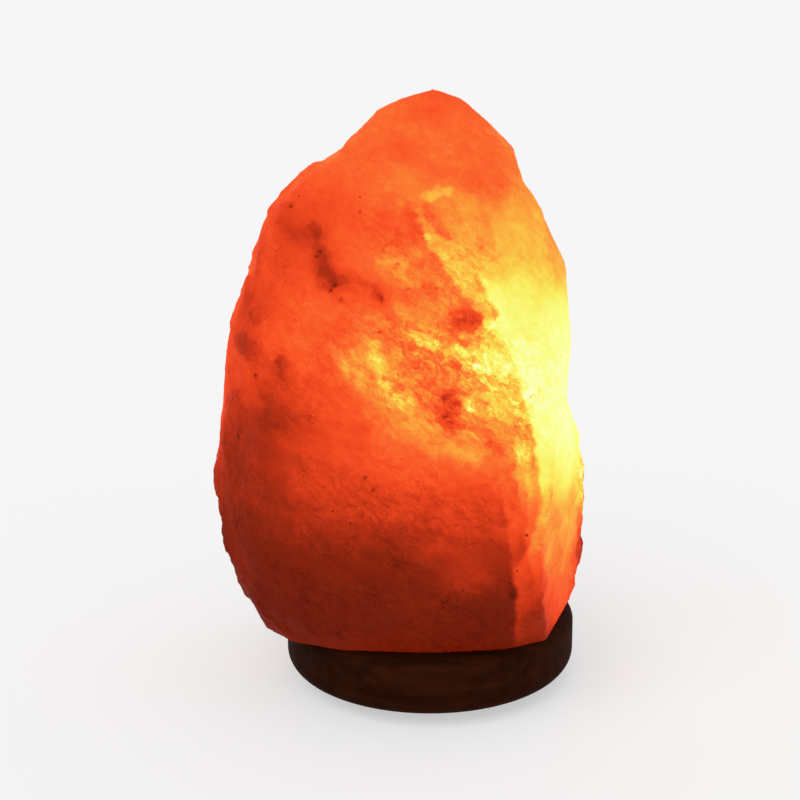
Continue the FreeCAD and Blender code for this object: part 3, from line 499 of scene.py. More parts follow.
def split_face_light(point):
    away = point - SPLIT_FACE
    across = away.x * math.cos(SPLIT_TURN) + away.z * math.sin(SPLIT_TURN)
    up = away.z * math.cos(SPLIT_TURN) - away.x * math.sin(SPLIT_TURN)
    return SPLIT_LIGHT * math.exp(-(across / SPLIT_REACH.x) ** 2
                                  - (away.y / SPLIT_REACH.y) ** 2
                                  - (up / SPLIT_REACH.z) ** 2)


def arriving_light(point):
    """The light that comes out at a place, as if all the salt were of one kind."""
    run = point - LAMP_PLACE
    run.y = abs(run.y) + EXTRA_DEPTH * min(1.0, abs(run.y) / FULL_DEPTH)
    # The thin right edge passes light on, round to the back and down to the foot.
    at_right = step(point.x / MM - 58, 5)
    run.y *= 1 - 0.6 * at_right
    run.z *= 0.5
    light = LIGHT_AT_LAMP - LOST_PER_STRETCH * run.length / STRETCH
    # The lampholder and the base shade the foot.
    light -= FOOT_SHADE * step(SHADE_TOP - point.z / MM, 20) * (1 - 0.65 * at_right)
    light += split_face_light(point)
    edge, jump = along_edge(point.z / MM)
    # The edge is ragged, and less so low down.
    shake = 2.5 - 1.6 * step(112 - point.z / MM, 10)
    past_edge = point.x / MM - edge + shake * noise.noise(point / (4 * MM))
    thick = step(-past_edge, 0.5) * math.exp(min(0.0, past_edge) / 40)
    return light - jump * thick * step(-point.y / MM, 6)


def bounded(light):
    """Light that levels off softly towards 0 and 1, as the darkest and brightest salt does."""
    dark, start, room = 0.16, 0.86, 0.13
    if light < dark:
        return dark * math.exp((light - dark) / dark)
    over = max(0.0, light - start)
    return min(light, start) + room * (1 - math.exp(-over / room))


# %% [markdown]
# The salt isn't even: clay and iron tint it in patches, and flakes with air behind them catch
# the light. The patches that show on the front are ovals, each with its place, its two half
# lengths, its slope and how much light it takes away or adds. The same wandering that bends the
# scars bends the ovals, so that none looks drawn with a compass.

# %% Patches on the front
FRONT_PATCHES = [
    # sideways, height, half length, half height, slope in degrees, light
    (13.6, 163.2, 8.2, 8.4, 0, -0.32),
    (6.8, 131.0, 5.6, 7.8, 0, -0.17),
    (-40.5, 184.0, 5.5, 7.0, -15, -0.09),
    (-25.0, 175.0, 19.0, 6.5, -8, -0.06),
    (-50.0, 170.0, 16.0, 12.0, 0, 0.04),
    (-71.0, 140.0, 6.0, 13.0, 0, 0.06),
    (-50.0, 150.0, 7.0, 9.0, 0, 0.05),
    (-3.0, 192.0, 4.0, 6.0, -30, 0.06),
    (15.0, 208.0, 6.0, 5.0, 0, 0.07),
    (-1.0, 177.0, 9.0, 6.0, -20, -0.07),
    (-57.5, 146.0, 2.4, 4.6, 10, -0.12),
    (-71.0, 151.0, 6.0, 4.5, -40, -0.10),
    (-74.0, 128.0, 13.0, 11.0, -20, -0.03),
    (-56.0, 127.0, 9.0, 7.0, -20, -0.06),
    (-15.0, 198.0, 14.0, 9.0, -20, -0.09),
    (-7.0, 228.0, 10.0, 6.0, 0, -0.07),
    (22.0, 216.0, 14.0, 11.0, -60, -0.10),
    (21.0, 100.0, 12.0, 18.0, 0, -0.04),
    (8.0, 68.0, 16.0, 10.0, 0, 0.04),
    (33.4, 57.0, 1.4, 3.4, 0, -0.15),
    (-12.5, 71.0, 2.6, 1.4, -20, -0.06),
    (61.0, 80.0, 5.0, 8.0, 0, -0.07),
    (55.0, 86.0, 10.0, 26.0, 0, -0.12),
    (51.0, 79.0, 7.0, 9.0, 0, -0.05),
    (34.0, 151.5, 5.0, 7.0, 40, 0.06),
    (40.5, 138.0, 4.5, 12.0, 12, 0.06),
    (-40.0, 153.5, 5.5, 2.0, -20, 0.08),
    (-24.0, 146.0, 15.0, 9.0, -30, 0.16),
    (-20.0, 163.0, 8.0, 6.0, 0, 0.09),
    (-15.0, 118.0, 10.0, 6.0, -20, 0.10),
    (2.0, 219.0, 8.0, 5.0, 0, -0.08),
    (7.0, 147.0, 9.0, 6.0, -30, -0.02),
    (-3.0, 241.0, 8.0, 5.0, 0, -0.06),
    (24.5, 166.5, 3.5, 4.0, 0, -0.10),
    (18.0, 151.0, 5.0, 3.0, -20, -0.07),
    (-2.0, 144.5, 5.0, 4.5, 0, -0.09),
    (-60.0, 155.0, 14.0, 8.0, 0, 0.07),
    (-2.0, 205.0, 7.0, 6.0, 0, -0.08),
    (53.0, 184.0, 6.0, 18.0, 12, -0.12),
    (-12.0, 128.0, 14.0, 8.0, -20, 0.19),
    (18.0, 141.0, 9.0, 12.0, -30, 0.04),
    (18.0, 131.0, 7.5, 2.2, -8, 0.10),
    (8.0, 117.5, 16.0, 8.0, -12, 0.12),
    (32.0, 176.0, 10.0, 12.0, 0, 0.07),
    (41.0, 90.0, 5.0, 15.0, 0, 0.11),
    (-80.0, 62.0, 7.0, 16.0, 10, 0.05),
    (-78.0, 110.0, 7.0, 12.0, 0, -0.06),
    (-12.0, 107.0, 15.0, 7.0, -8, 0.05),
    (18.0, 60.0, 17.0, 7.0, 0, 0.03),
    (-50.0, 100.0, 8.0, 6.0, 0, 0.04),
]


def patch_light(x, z, patch):
    """The light that one oval adds at a place, even inside it and soft at its rim."""
    centre_x, centre_z, length, height, slope, amount = patch
    turn = math.radians(slope)
    across = (x - centre_x) * math.cos(turn) + (z - centre_z) * math.sin(turn)
    up = (z - centre_z) * math.cos(turn) - (x - centre_x) * math.sin(turn)
    far = (across / length) ** 2 + (up / height) ** 2
    return amount * math.exp(-far ** 1.8) if far < 5 else 0.0


print("patches on the front:", len(FRONT_PATCHES))

# %% [markdown]
# Lines matter as much as patches: where a layer ends, the salt is a step thinner on one side,
# and a flake seen edge on is a bright or a dark streak. Each seam is drawn as a bent line, with
# the light it adds on either side and how far that reaches. Specks of clay are the smallest
# marks that have a place of their own.

# %% Seams and specks on the front
FRONT_SEAMS = [
    # light on the left (going down) and its reach, the same on the right, then the points
    (-0.08, 4.0, 0.12, 8.0, [(-4.6, 201), (0, 190.5), (6, 183), (11.5, 176), (17, 169),
                             (21, 164)]),
    (-0.22, 1.4, 0.12, 5.0, [(18.5, 180), (21.5, 174), (24.5, 169), (26.5, 164)]),
    (0.26, 1.0, 0.16, 2.4, [(13.5, 157.5), (17.3, 159.4), (20.4, 160.4), (23.5, 161.5)]),
    (0.18, 1.4, 0.16, 1.8, [(-6.5, 159), (-3.5, 156.7), (1.5, 154.4)]),
    (0.14, 1.8, 0.14, 1.8, [(-3.5, 157), (6, 154), (14.5, 152.7), (21.5, 150.3)]),
    (0.16, 1.1, 0.14, 1.5, [(6, 151.4), (11.5, 149), (17.3, 146.3), (24, 144)]),
    (0.15, 1.6, 0.15, 1.6, [(24.3, 150), (27, 147.4), (30.2, 144.5)]),
    (0.16, 1.8, 0.16, 1.8, [(13.5, 135.5), (15, 131.7)]),
    (0.17, 2.6, 0.17, 2.6, [(-22.4, 154), (-21.6, 148.6), (-20, 145.6)]),
    (0.13, 2.6, 0.13, 2.6, [(-33, 148.3), (-32.5, 142.2)]),
    (0.17, 2.3, 0.17, 2.3, [(-27.8, 143.8), (-26.7, 138.5)]),
    (0.18, 2.8, 0.18, 2.8, [(-18.2, 140), (-14.7, 136.2), (-9, 133)]),
    (0.08, 2.2, 0.08, 2.2, [(-26, 156), (-19.3, 156)]),
    (0.12, 1.5, 0.12, 1.5, [(-1.5, 125.5), (1.5, 123.3)]),
    (0.12, 1.1, 0.12, 1.1, [(10, 124.2), (12.7, 122.2)]),
    (0.08, 3.0, 0.08, 3.0, [(0, 116.7), (9.6, 115), (19.3, 113)]),
    (-0.12, 1.5, -0.12, 1.5, [(22, 123.7), (23.6, 118.3), (26.7, 114.2)]),
    (-0.14, 2.2, -0.14, 2.2, [(7.7, 148), (12.7, 143.8)]),
    (-0.16, 0.9, -0.16, 0.9, [(-2.7, 154), (0.4, 151.8)]),
    (-0.05, 1.6, -0.05, 1.6, [(6.5, 137), (6, 131.8), (8, 122.7)]),
    (-0.12, 1.5, -0.12, 1.5, [(6.5, 135.6), (14, 137.7)]),
    (0.15, 1.3, 0.15, 1.5, [(-3.5, 210), (-0.4, 209.7), (2.7, 212.3), (8.5, 212.3)]),
    (-0.10, 1.8, -0.10, 1.8, [(-1.5, 207), (2.7, 200)]),
    (-0.14, 1.5, -0.14, 1.5, [(4, 197.3), (6.6, 195)]),
    (-0.07, 1.5, -0.07, 1.5, [(19.7, 195), (18.5, 190.5)]),
    (-0.05, 3.0, 0.03, 3.0, [(22.5, 203.6), (25.2, 193.2)]),
    (0.12, 2.0, 0.12, 2.0, [(-17.7, 186.2), (-13, 186.2), (-10, 180.4), (-4.6, 178.2)]),
    (0.08, 3.0, 0.08, 3.0, [(-14.6, 167.7), (-9.6, 165.6), (-7, 162)]),
    (-0.10, 1.5, -0.10, 1.5, [(-17, 166.2), (-14.6, 163.2)]),
    (-0.08, 2.2, -0.08, 2.2, [(-2, 178), (2, 175)]),
    (-0.07, 4.0, -0.07, 4.0, [(-57, 197.5), (-49, 194.5), (-43.5, 196.5)]),
    (-0.08, 2.2, -0.08, 2.2, [(-44.5, 197.5), (-43, 191.5)]),
    (-0.09, 4.5, -0.10, 3.0, [(-42.3, 188.2), (-40, 183.5), (-38.3, 179)]),
    (-0.09, 2.6, -0.09, 2.6, [(-35.5, 179), (-27, 179.4), (-22.3, 175.8), (-19.2, 171.4)]),
    (-0.14, 1.1, -0.14, 1.1, [(-20.4, 177), (-18.8, 171)]),
    (-0.07, 2.5, -0.07, 2.5, [(-67.2, 192.3), (-72.4, 175.6), (-75, 163.7), (-76.5, 152)]),
    (-0.10, 1.3, -0.10, 1.3, [(-70.4, 164), (-69, 159.7)]),
    (0.0, 1.0, 0.09, 5.0, [(28.4, 95.3), (31.3, 79.2), (32.7, 64.7), (34.1, 54), (34.2, 36)]),
    (-0.03, 2.0, 0.06, 4.0, [(38.4, 96.3), (38, 86.5), (37.3, 78.6), (38.6, 72), (40.3, 65)]),
    (-0.05, 2.5, 0.06, 5.0, [(45.8, 65.8), (47.9, 54.6), (45.3, 51.3), (47.5, 36.4)]),
    (0.09, 3.0, 0.09, 3.0, [(45.8, 100.7), (45.8, 85.2), (47.4, 66.4)]),
    (-0.12, 1.1, -0.02, 1.0, [(39.1, 122.4), (40.4, 113.3), (40.8, 106.7)]),
    (0.15, 2.5, 0.15, 2.5, [(37.5, 112), (38.5, 100)]),
    (-0.08, 0.8, -0.08, 0.8, [(36.7, 121.6), (37.1, 105.4)]),
    (-0.12, 1.0, -0.12, 1.0, [(33.4, 127.8), (34.6, 121.9)]),
    (-0.03, 2.5, 0.12, 4.0, [(33.1, 112.5), (34.4, 94.8)]),
]
FRONT_SPECKS = [
    (-54.5, 206), (-42.7, 189.3), (-43.9, 187.8), (-36.7, 177), (-38.3, 175.4), (-34.3, 171.8),
    (-27.2, 204.4), (-5.4, 202.8), (2.3, 176.7), (-8.5, 176.3), (0, 160), (-19.3, 160.1),
    (-18.1, 142.2), (-68.7, 140.9), (-75.9, 117.6), (-76.9, 114.9), (-25.3, 103.9),
    (-22.2, 99.3), (-13.3, 70), (32.4, 56.2), (-12.3, 185.5), (5, 154), (23.6, 118.7),
]
print("seams:", len(FRONT_SEAMS), "specks:", len(FRONT_SPECKS))

# %% Light of a seam and of a speck
SEAM_EDGE = 0.5
SPECK_REACH, SPECK_SHADE = 0.7, 0.22


def seam_light(x, z, seam):
    """The light that one seam adds at a place on the front."""
    left, left_reach, right, right_reach, points = seam
    nearest, side = 1e9, 0.0
    for (ax, az), (bx, bz) in zip(points, points[1:]):
        run_x, run_z = bx - ax, bz - az
        length = math.hypot(run_x, run_z)
        share = ((x - ax) * run_x + (z - az) * run_z) / length ** 2
        share = max(0.0, min(1.0, share))
        far = math.hypot(x - ax - share * run_x, z - az - share * run_z)
        if far < nearest:
            nearest = far
            side = (run_x * (z - az) - run_z * (x - ax)) / length
    to_right = max(0.0, min(1.0, 0.5 + side / (2 * SEAM_EDGE)))
    return (left * (1 - to_right) * math.exp(-(nearest / left_reach) ** 2)
            + right * to_right * math.exp(-(nearest / right_reach) ** 2))


def speck_light(x, z):
    """The light that the front's clay specks take away."""
    light = 0.0
    for across, up in FRONT_SPECKS:
        if abs(x - across) < 2 and abs(z - up) < 2:
            far = math.hypot(x - across, z - up) / SPECK_REACH
            light -= SPECK_SHADE * math.exp(-far ** 3)
    return light


def seam_box(seam):
    """The box outside which a seam's light is nothing: left, right, bottom, top."""
    reach = 2.2 * max(seam[1], seam[3])
    across, up = zip(*seam[4])
    return min(across) - reach, max(across) + reach, min(up) - reach, max(up) + reach


SEAM_BOXES = [seam_box(seam) for seam in FRONT_SEAMS]

# %% [markdown]
# Broken salt has jagged edges. To give them to every patch and seam, the front is read through
# its flakes: a place takes the light that belongs half to itself and half to the middle of the
# flake it lies in. The flakes are cells again, but long and thin, and they lie with the block's
# layers, which run down to the right.

# %% Reading the front through its flakes
DEGREES_OF_LAYERS = 38
LAYER_SLOPE = math.radians(DEGREES_OF_LAYERS)
CHIP_LENGTH, CHIP_HEIGHT = 4.2 * MM, 2.6 * MM


def along_layers(point, length, height):
    """A place in a grid of flakes of this size that lie along the layers."""
    run = point.x * math.cos(LAYER_SLOPE) - point.z * math.sin(LAYER_SLOPE)
    up = point.x * math.sin(LAYER_SLOPE) + point.z * math.cos(LAYER_SLOPE)
    return Vector((run / length, point.y / length, up / height))


def flake_middle(point, length, height):
    """The middle of the flake that a point lies in."""
    middle = noise.voronoi(along_layers(point, length, height))[1][0]
    run, up = middle.x * length, middle.z * height
    return Vector((run * math.cos(LAYER_SLOPE) + up * math.sin(LAYER_SLOPE),
                   middle.y * length,
                   up * math.cos(LAYER_SLOPE) - run * math.sin(LAYER_SLOPE)))


def straightness(point):
    """1 low on the split face, where the seams run nearly straight, and 0 elsewhere."""
    return step(point.x / MM - 24, 6) * step(112 - point.z / MM, 10)


def front_patches(point):
    """The light that patches, seams and specks add on the front."""
    straight = straightness(point)
    middle = flake_middle(point, CHIP_LENGTH, CHIP_HEIGHT)
    place = point.lerp(middle, 0.5 - 0.3 * straight) / MM
    bend = wander(point, 7 * MM) * 1.5 + wander(point, 2.4 * MM) * 0.7
    place += bend * (1 - 0.5 * straight)
    x, z = place.x, place.z
    light = sum(patch_light(x, z, patch) for patch in FRONT_PATCHES)
    for seam, (left, right, bottom, top) in zip(FRONT_SEAMS, SEAM_BOXES):
        if left < x < right and bottom < z < top:
            light += seam_light(x, z, seam)
    return light + speck_light(point.x / MM, point.z / MM)


# %% [markdown]
# What is left is by chance: bright flakes and dark seams everywhere, and on the back and the
# sides also patches of clay. Some parts of the block are broken into flakes more than others,
# so one more number says how flaky the salt is at a place. The finish uses it again later.

# %% Flakes scattered with the layers
FLAKE_LENGTH, FLAKE_HEIGHT = 9 * MM, 4 * MM
LEAST_FLAKY = 0.12
FLAKY_PARTS = [
    # sideways, height, half length, half height, slope in degrees, how flaky
    (2.0, 142.0, 38.0, 24.0, -18, 0.85),
    (0.0, 186.0, 26.0, 18.0, -30, 0.40),
    (36.0, 112.0, 5.0, 22.0, 0, 0.40),
    (-8.0, 93.0, 50.0, 18.0, -8, 0.45),
    (-50.0, 150.0, 22.0, 26.0, 0, 0.20),
]


def scattered_flakes(point):
    """Bright flakes and dark seams, long along the layers, about -0.5 to 0.5."""
    bent = point + wander(point, 8 * MM) * 5 * MM + wander(point, 2.5 * MM) * 1.2 * MM
    place = along_layers(bent, FLAKE_LENGTH, FLAKE_HEIGHT)
    return 0.6 * scars(place, 1.0, 1.0) + 0.5 * noise.noise(place * 0.6)


def chance_patches(point):
    """Clay and bright flakes for the sides that the front's patches don't reach."""
    place = point.lerp(flake_middle(point, CHIP_LENGTH, CHIP_HEIGHT), 0.5)
    place += wander(point, 7 * MM) * 1.5 * MM
    clay = (noise.noise(place / (27 * MM) + Vector((3, 1, 7)))
            + 0.45 * noise.noise(place / (9 * MM)))
    bright = (noise.noise(along_layers(place, 38 * MM, 19 * MM) + Vector((1, 9, 2)))
              + 0.5 * noise.noise(along_layers(place, 11 * MM, 5 * MM)))
    return (0.12 * noise.noise(place / (45 * MM)) - 0.4 * max(0.0, clay - 0.3)
            + 0.32 * max(0.0, bright - 0.16))


# %% Front, back and flaky parts
def front_share(point):
    """1 on the front, 0 on the back, and a soft change between them."""
    round_right = 12 * step(point.x / MM - 48, 8)
    return step(-point.y / MM - 4 + round_right, 3)


def flakiness(point):
    """How far the salt is broken into flakes here, from 0 to 1."""
    x, z = point.x / MM, point.z / MM
    front = min(1.0, LEAST_FLAKY + sum(patch_light(x, z, part) for part in FLAKY_PARTS))
    back = max(LEAST_FLAKY, min(1.0, 0.3 + 1.1 * noise.noise(point / (38 * MM))))
    share = front_share(point)
    return front * share + back * (1 - share)


def patches(point):
    """The light that patches add at a place, placed ones in front and chance ones behind."""
    share = front_share(point)
    light = 0.0
    if share > 0.01:
        light += share * front_patches(point)
    if share < 0.99:
        light += (1 - share) * chance_patches(point)
    return light


# %% Light kept on every point of the skin
HOLLOW_LIGHT, HOLLOW_RISE = 0.55, 0.4
FULLY_LIT = 0.9
# Where the skin stands out by a millimetre, this much less light comes through.
LOST_PER_MM = 0.028


def store_glow(piece, moves):
    """Two numbers from 0 to 1 on each point: its light, and how flaky the salt is there."""
    glow = piece.data.attributes.new("glow", "FLOAT", "POINT")
    flaky = piece.data.attributes.new("flaky", "FLOAT", "POINT")
    lowest, highest = 9.0, -9.0
    for vertex, move in zip(piece.data.vertices, moves):
        point = vertex.co
        if in_hollow(point, 2 * MM):
            light = HOLLOW_LIGHT + HOLLOW_RISE * step(point.z / MM - 55, 6)
        else:
            light = arriving_light(point) + 0.05 * noise.noise(point / (33 * MM))
            broken = flakiness(point)
            # Contrast is low in the darkest salt and in the brightest.
            lively = max(0.25, min(1.0, 1.6 * light))
            lively = lively * (1 - 0.75 * step(light - FULLY_LIT, 0.05))
            light += lively * ((0.05 + 0.09 * broken) * scattered_flakes(point)
                               - LOST_PER_MM * move / MM)
            light = bounded(light + patches(point))
            flaky.data[vertex.index].value = broken * lively
        glow.data[vertex.index].value = light
        lowest, highest = min(lowest, light), max(highest, light)
    print("glow from", round(lowest, 2), "to", round(highest, 2))


store_glow(crystal, scar_moves)

# %% [markdown]
# ## Salt
# On top of the stored light come the things too fine for the mesh: flakes of a few
# millimetres, streaks and a fine grain that run down to the right with the layers, hairline
# cracks, and a few dark specks of clay. All of them shift the same number, so the ramp keeps
# every tint inside the family of colours that glowing salt has. Flakes, streaks and grain are
# strongest where the stored flakiness is high.

# %% Fine changes of the light
LAYER_TURN = (0, -DEGREES_OF_LAYERS, 0)


def flake_change(salt, length, height, reach, at):
    """Flakes with a chance level each, up to reach lighter or darker."""
    size = (1 / (length * MM), 1 / (length * MM), 1 / (height * MM))
    chance = salt.chance_in_cells(salt.stretched(size, turn=LAYER_TURN, at=at))
    return salt.between(chance, 0.0, 1.0, -reach, reach)


def streak_change(salt, flaky, at):
    layers = salt.stretched((90, 130, 240), turn=LAYER_TURN, at=at)
    streaks = salt.between(salt.clouds(1.0, detail=4, rough=0.5, at=layers),
                           0.3, 0.7, -0.04, 0.04)
    return salt.sum("MULTIPLY", streaks, salt.sum("ADD", flaky, 0.25))


def crack_and_speck_change(salt, at):
    crack_depth = salt.between(salt.cells(75, "DISTANCE_TO_EDGE", at=at), 0.0, 0.022,
                               -0.09, 0.0)
    where_cracked = salt.between(salt.clouds(60, detail=2), 0.60, 0.66)
    cracks = salt.sum("MULTIPLY", crack_depth, where_cracked)
    speck_depth = salt.between(salt.cells(190, at=at), 0.04, 0.11, -0.3, 0.0)
    where_specked = salt.between(salt.clouds(60, detail=2, twist=1.0), 0.57, 0.63)
    return salt.sum("ADD", cracks, salt.sum("MULTIPLY", speck_depth, where_specked))


def grain_change(salt, flaky, at):
    fine_layers = salt.stretched((330, 450, 620), turn=LAYER_TURN, at=at)
    grain = salt.between(salt.clouds(1.0, detail=4, rough=0.62, twist=0.8, at=fine_layers),
                         0.3, 0.7, -0.085, 0.085)
    where_grainy = salt.between(salt.clouds(55, detail=3), 0.4, 0.62, 0.3, 1.1)
    how_grainy = salt.sum("ADD", salt.sum("MULTIPLY", flaky, 1.3), 0.33)
    return salt.sum("MULTIPLY", grain, salt.sum("MULTIPLY", where_grainy, how_grainy))


# %% [markdown]
# The ramp's colours are written as the eye should see them. Part of what the eye sees is room
# light on the salt's own dull red, so that share is taken off before the rest is given to the
# glow. The glow doesn't light up the relief, so the relief shows only in that small share.

# %% Glowing salt
# What the room's light adds to the glow on the salt's own dull red.
ROOM_SHARE = (0.046, 0.0085, 0.0065)
GLOWING_SALT = [
    (0.00, (84, 24, 15)), (0.12, (137, 38, 21)), (0.22, (187, 51, 26)), (0.31, (227, 66, 32)),
    (0.40, (249, 81, 39)), (0.50, (252, 104, 48)), (0.59, (251, 132, 54)),
    (0.69, (252, 162, 62)), (0.79, (251, 202, 74)), (0.88, (251, 238, 98)),
    (0.95, (252, 254, 136)), (1.00, (253, 255, 196)),
]


def glow_alone(red, green, blue):
    """The glow that makes a colour together with the room's share."""
    seen = from_screen(red, green, blue)
    return [max(0.0, part - share) for part, share in zip(seen, ROOM_SHARE)] + [1.0]


def salt_finish():
    salt = Finish("glowing_rock_salt")
    light = salt.stored("glow")
    flaky = salt.stored("flaky")
    drifted = salt.wandered(150, 5 * MM)
    broken = salt.sum("ADD", flake_change(salt, 4.6, 2.4, 0.10, drifted),
                      flake_change(salt, 1.7, 1.0, 0.065, drifted))
    uneven = salt.sum("ADD", salt.sum("MULTIPLY", broken, flaky),
                      streak_change(salt, flaky, drifted))
    uneven = salt.sum("ADD", uneven, grain_change(salt, flaky, drifted))
    light = salt.sum("ADD", light, uneven)
    light = salt.sum("ADD", light, crack_and_speck_change(salt, drifted))
    colour = salt.ramp(light, [(place, glow_alone(*seen)) for place, seen in GLOWING_SALT])
    salt.join(colour, salt.shader.inputs["Emission Color"])
    salt.set(Emission_Strength=1.0)

    own = salt.ramp(salt.clouds(70, detail=5), [
        (0.30, (0.032, 0.004, 0.002, 1)),
        (0.70, (0.044, 0.007, 0.003, 1)),
    ])
    salt.join(own, salt.shader.inputs["Base Color"])
    salt.join(salt.between(salt.clouds(300, detail=3), 0.3, 0.7, 0.6, 0.8),
              salt.shader.inputs["Roughness"])
    salt.set(Specular_IOR_Level=0.03)
    grit = salt.sum("ADD", salt.clouds(420, detail=4, rough=0.6),
                    salt.sum("MULTIPLY", salt.cells(130, at=drifted), 0.8))
    salt.relief(grit, 0.4 * MM, 0.5)
    return salt


crystal.data.materials.append(salt_finish().material)
print("finish of the crystal:", crystal.data.materials[0].name)

# %% [markdown]
# ## Dark turned wood
# The base is a disc of cheap hardwood, turned on a lathe and stained almost black-brown. The
# grain runs straight across the disc, so it shows as fine lines on top and wraps down the side,
# and the stain sits deeper in the pores. Stretching clouds along one direction gives such
# grain at a real scale.

# %% Stained wood
def wood_finish():
    wood = Finish("dark_stained_wood")
    fibres = wood.clouds(1.0, detail=7, rough=0.62, at=wood.stretched((14, 260, 260)))
    broad = wood.clouds(1.0, detail=3, twist=1.2, at=wood.stretched((7, 46, 46)))
    pores = wood.clouds(1.0, detail=3, at=wood.stretched((60, 1500, 1500)))
    grain = wood.sum("ADD", wood.sum("MULTIPLY", fibres, 0.6), wood.sum("MULTIPLY", broad, 0.4))
    colour = wood.ramp(grain, [
        (0.34, from_screen(26, 8, 1)),
        (0.50, from_screen(40, 14, 3)),
        (0.66, from_screen(54, 21, 6)),
    ])
    wood.join(colour, wood.shader.inputs["Base Color"])
    wood.join(wood.between(pores, 0.3, 0.7, 0.80, 0.62), wood.shader.inputs["Roughness"])
    wood.set(Specular_IOR_Level=0.02)
    wood.relief(wood.sum("ADD", pores, fibres), 0.25 * MM, 0.5)
    return wood


dress(wood_finish(), "wooden_base")

# %% [markdown]
# ## Rubber, plastic, ceramic and cement
# Nothing here is polished. Each finish is a plain colour with the unevenness that its making
# leaves: bloom on rubber, mould grain on plastic, a dry speckle in fired clay and cement.

# %% Dull finishes
def dull_finish(name, darker, lighter, cloud_scale, rough, grain_scale, grain_depth,
                specular=0.4):
    finish = Finish(name)
    colour = finish.ramp(finish.clouds(cloud_scale, detail=5), [(0.35, darker), (0.65, lighter)])
    finish.join(colour, finish.shader.inputs["Base Color"])
    finish.join(finish.between(finish.clouds(cloud_scale * 2.3), 0.3, 0.7, rough - 0.08,
                               rough + 0.08), finish.shader.inputs["Roughness"])
    finish.set(Specular_IOR_Level=specular)
    finish.relief(finish.clouds(grain_scale, detail=3), grain_depth, 0.5)
    return finish


dress(dull_finish("black_rubber", (0.012, 0.012, 0.012, 1), (0.030, 0.029, 0.028, 1),
                  220, 0.8, 2600, 0.1 * MM),
      "rubber_foot_1", "rubber_foot_2", "rubber_foot_3", "rubber_foot_4")
dress(dull_finish("ivory_plastic", (0.66, 0.63, 0.54, 1), (0.76, 0.73, 0.65, 1),
                  90, 0.42, 1900, 0.05 * MM),
      "bottom_cap", "holder_body")
dress(dull_finish("fired_ceramic", (0.66, 0.63, 0.55, 1), (0.80, 0.78, 0.71, 1),
                  400, 0.6, 1500, 0.08 * MM),
      "holder_core")
dress(dull_finish("grey_cement", (0.42, 0.38, 0.30, 1), (0.62, 0.57, 0.47, 1),
                  700, 0.85, 1800, 0.15 * MM),
      "basing_cement")
dress(dull_finish("black_bulb_glass", (0.006, 0.006, 0.009, 1), (0.012, 0.012, 0.016, 1),
                  300, 0.14, 900, 0.02 * MM, specular=0.5),
      "cap_insulator")

# %% [markdown]
# ## Metals
# Metal shows its making in its gloss more than in its colour: drawn wire and pressed sheet
# have fine lines, and brass and zinc dull in patches. One recipe serves them all, with the
# direction of the lines and the size of the patches as its measures.

# %% Worked metals
def metal_finish(name, darker, lighter, gloss, lines=(900, 900, 120), patch=160):
    metal = Finish(name)
    metal.set(Metallic=1.0)
    patches = metal.clouds(patch, detail=5, rough=0.6)
    colour = metal.ramp(patches, [(0.35, darker), (0.65, lighter)])
    metal.join(colour, metal.shader.inputs["Base Color"])
    drawn = metal.clouds(1.0, detail=4, at=metal.stretched(lines))
    rough = metal.sum("ADD", metal.between(drawn, 0.3, 0.7, gloss - 0.07, gloss + 0.07),
                      metal.between(patches, 0.4, 0.7, 0.0, 0.12))
    metal.join(rough, metal.shader.inputs["Roughness"])
    metal.relief(drawn, 0.04 * MM, 0.35)
    return metal


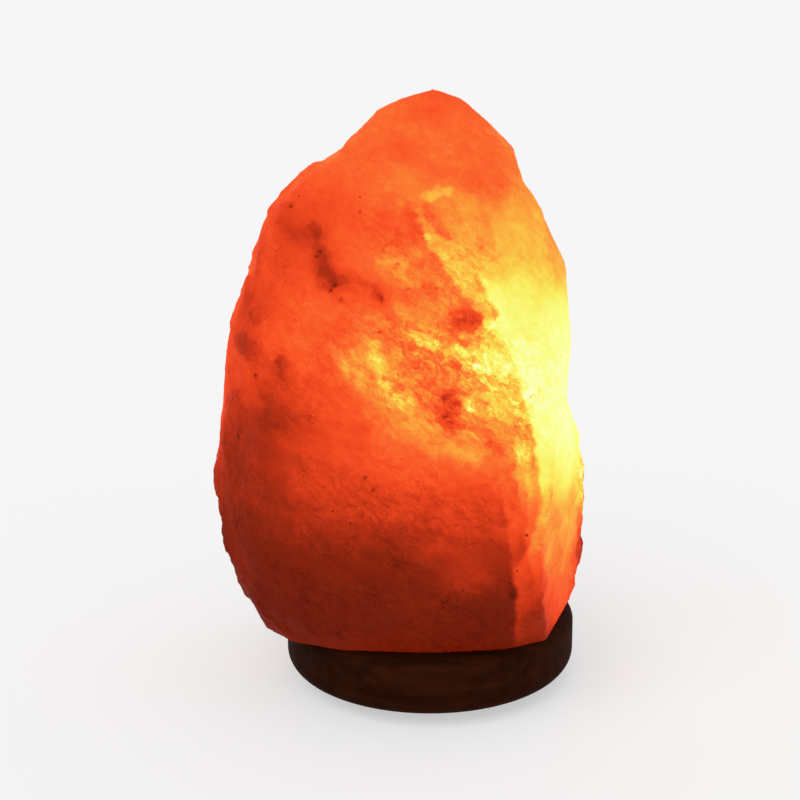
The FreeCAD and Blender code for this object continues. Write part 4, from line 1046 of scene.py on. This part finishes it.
dress(metal_finish("zinc_plated_steel", (0.46, 0.46, 0.43, 1), (0.62, 0.62, 0.60, 1), 0.34),
      "crystal_screw_1", "crystal_screw_2", "crystal_screw_3",
      "crystal_washer_1", "crystal_washer_2", "crystal_washer_3",
      "foot_screw_1", "foot_screw_2", "foot_screw_3", "foot_screw_4",
      "live_terminal_screw", "neutral_terminal_screw",
      "inlet_nipple", "nipple_nut", "clip_strap", "clip_rivet_left", "clip_rivet_right")
dress(metal_finish("blued_spring_steel", (0.20, 0.21, 0.24, 1), (0.36, 0.37, 0.40, 1), 0.28,
                   lines=(150, 900, 150)),
      "spring_wing_left", "spring_wing_right")
dress(metal_finish("brass", (0.52, 0.36, 0.13, 1), (0.72, 0.53, 0.22, 1), 0.26),
      "screw_shell", "centre_contact", "live_rivet", "neutral_rivet",
      "live_terminal", "neutral_terminal")
dress(metal_finish("nickel_sheet", (0.60, 0.58, 0.54, 1), (0.74, 0.72, 0.68, 1), 0.16,
                   lines=(300, 300, 2200)),
      "bulb_cap", "lead_wire_left", "lead_wire_right", "filament_support")
dress(metal_finish("soft_solder", (0.42, 0.43, 0.44, 1), (0.66, 0.66, 0.66, 1), 0.38, patch=700),
      "cap_tip")

# %% [markdown]
# ## The bulb
# The glass is thin and clear. Glass on screen needs something to show, and here that is the
# filament: a bright thread whose light also warms the walls of the hollow. A faint glow of the
# glass itself stands for the haze round a lit filament.

# %% Clear glass and glowing filament
def glass_finish():
    glass = Finish("clear_bulb_glass")
    tint = glass.ramp(glass.clouds(60, detail=2), [
        (0.3, (0.96, 0.95, 0.92, 1)),
        (0.7, (1.0, 0.99, 0.97, 1)),
    ])
    glass.join(tint, glass.shader.inputs["Base Color"])
    glass.join(glass.between(glass.clouds(500), 0.3, 0.7, 0.02, 0.07),
               glass.shader.inputs["Roughness"])
    glass.set(Transmission_Weight=1.0, IOR=1.47, Emission_Color=(1.0, 0.60, 0.24, 1),
              Emission_Strength=0.35)
    return glass


def filament_finish():
    thread = Finish("glowing_filament")
    turns = thread.clouds(1.0, detail=2, at=thread.stretched((4200, 200, 200)))
    heat = thread.ramp(turns, [(0.4, (1.0, 0.50, 0.16, 1)), (0.6, (1.0, 0.78, 0.42, 1))])
    thread.join(heat, thread.shader.inputs["Emission Color"])
    thread.set(Emission_Strength=14.0, Base_Color=(0.2, 0.18, 0.16, 1), Roughness=0.5)
    return thread


dress(glass_finish(), "bulb_glass", "glass_stem")
dress(filament_finish(), "filament")

# %% [markdown]
# ## Check the size
# The dressed lamp must keep the size of the solids.

# %% Both boxes
dressed_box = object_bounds()
for word, first, second in zip(("lowest", "highest"), solid_box, dressed_box):
    print(word, [round((b - a) / MM, 2) for a, b in zip(first, second)], "mm apart")
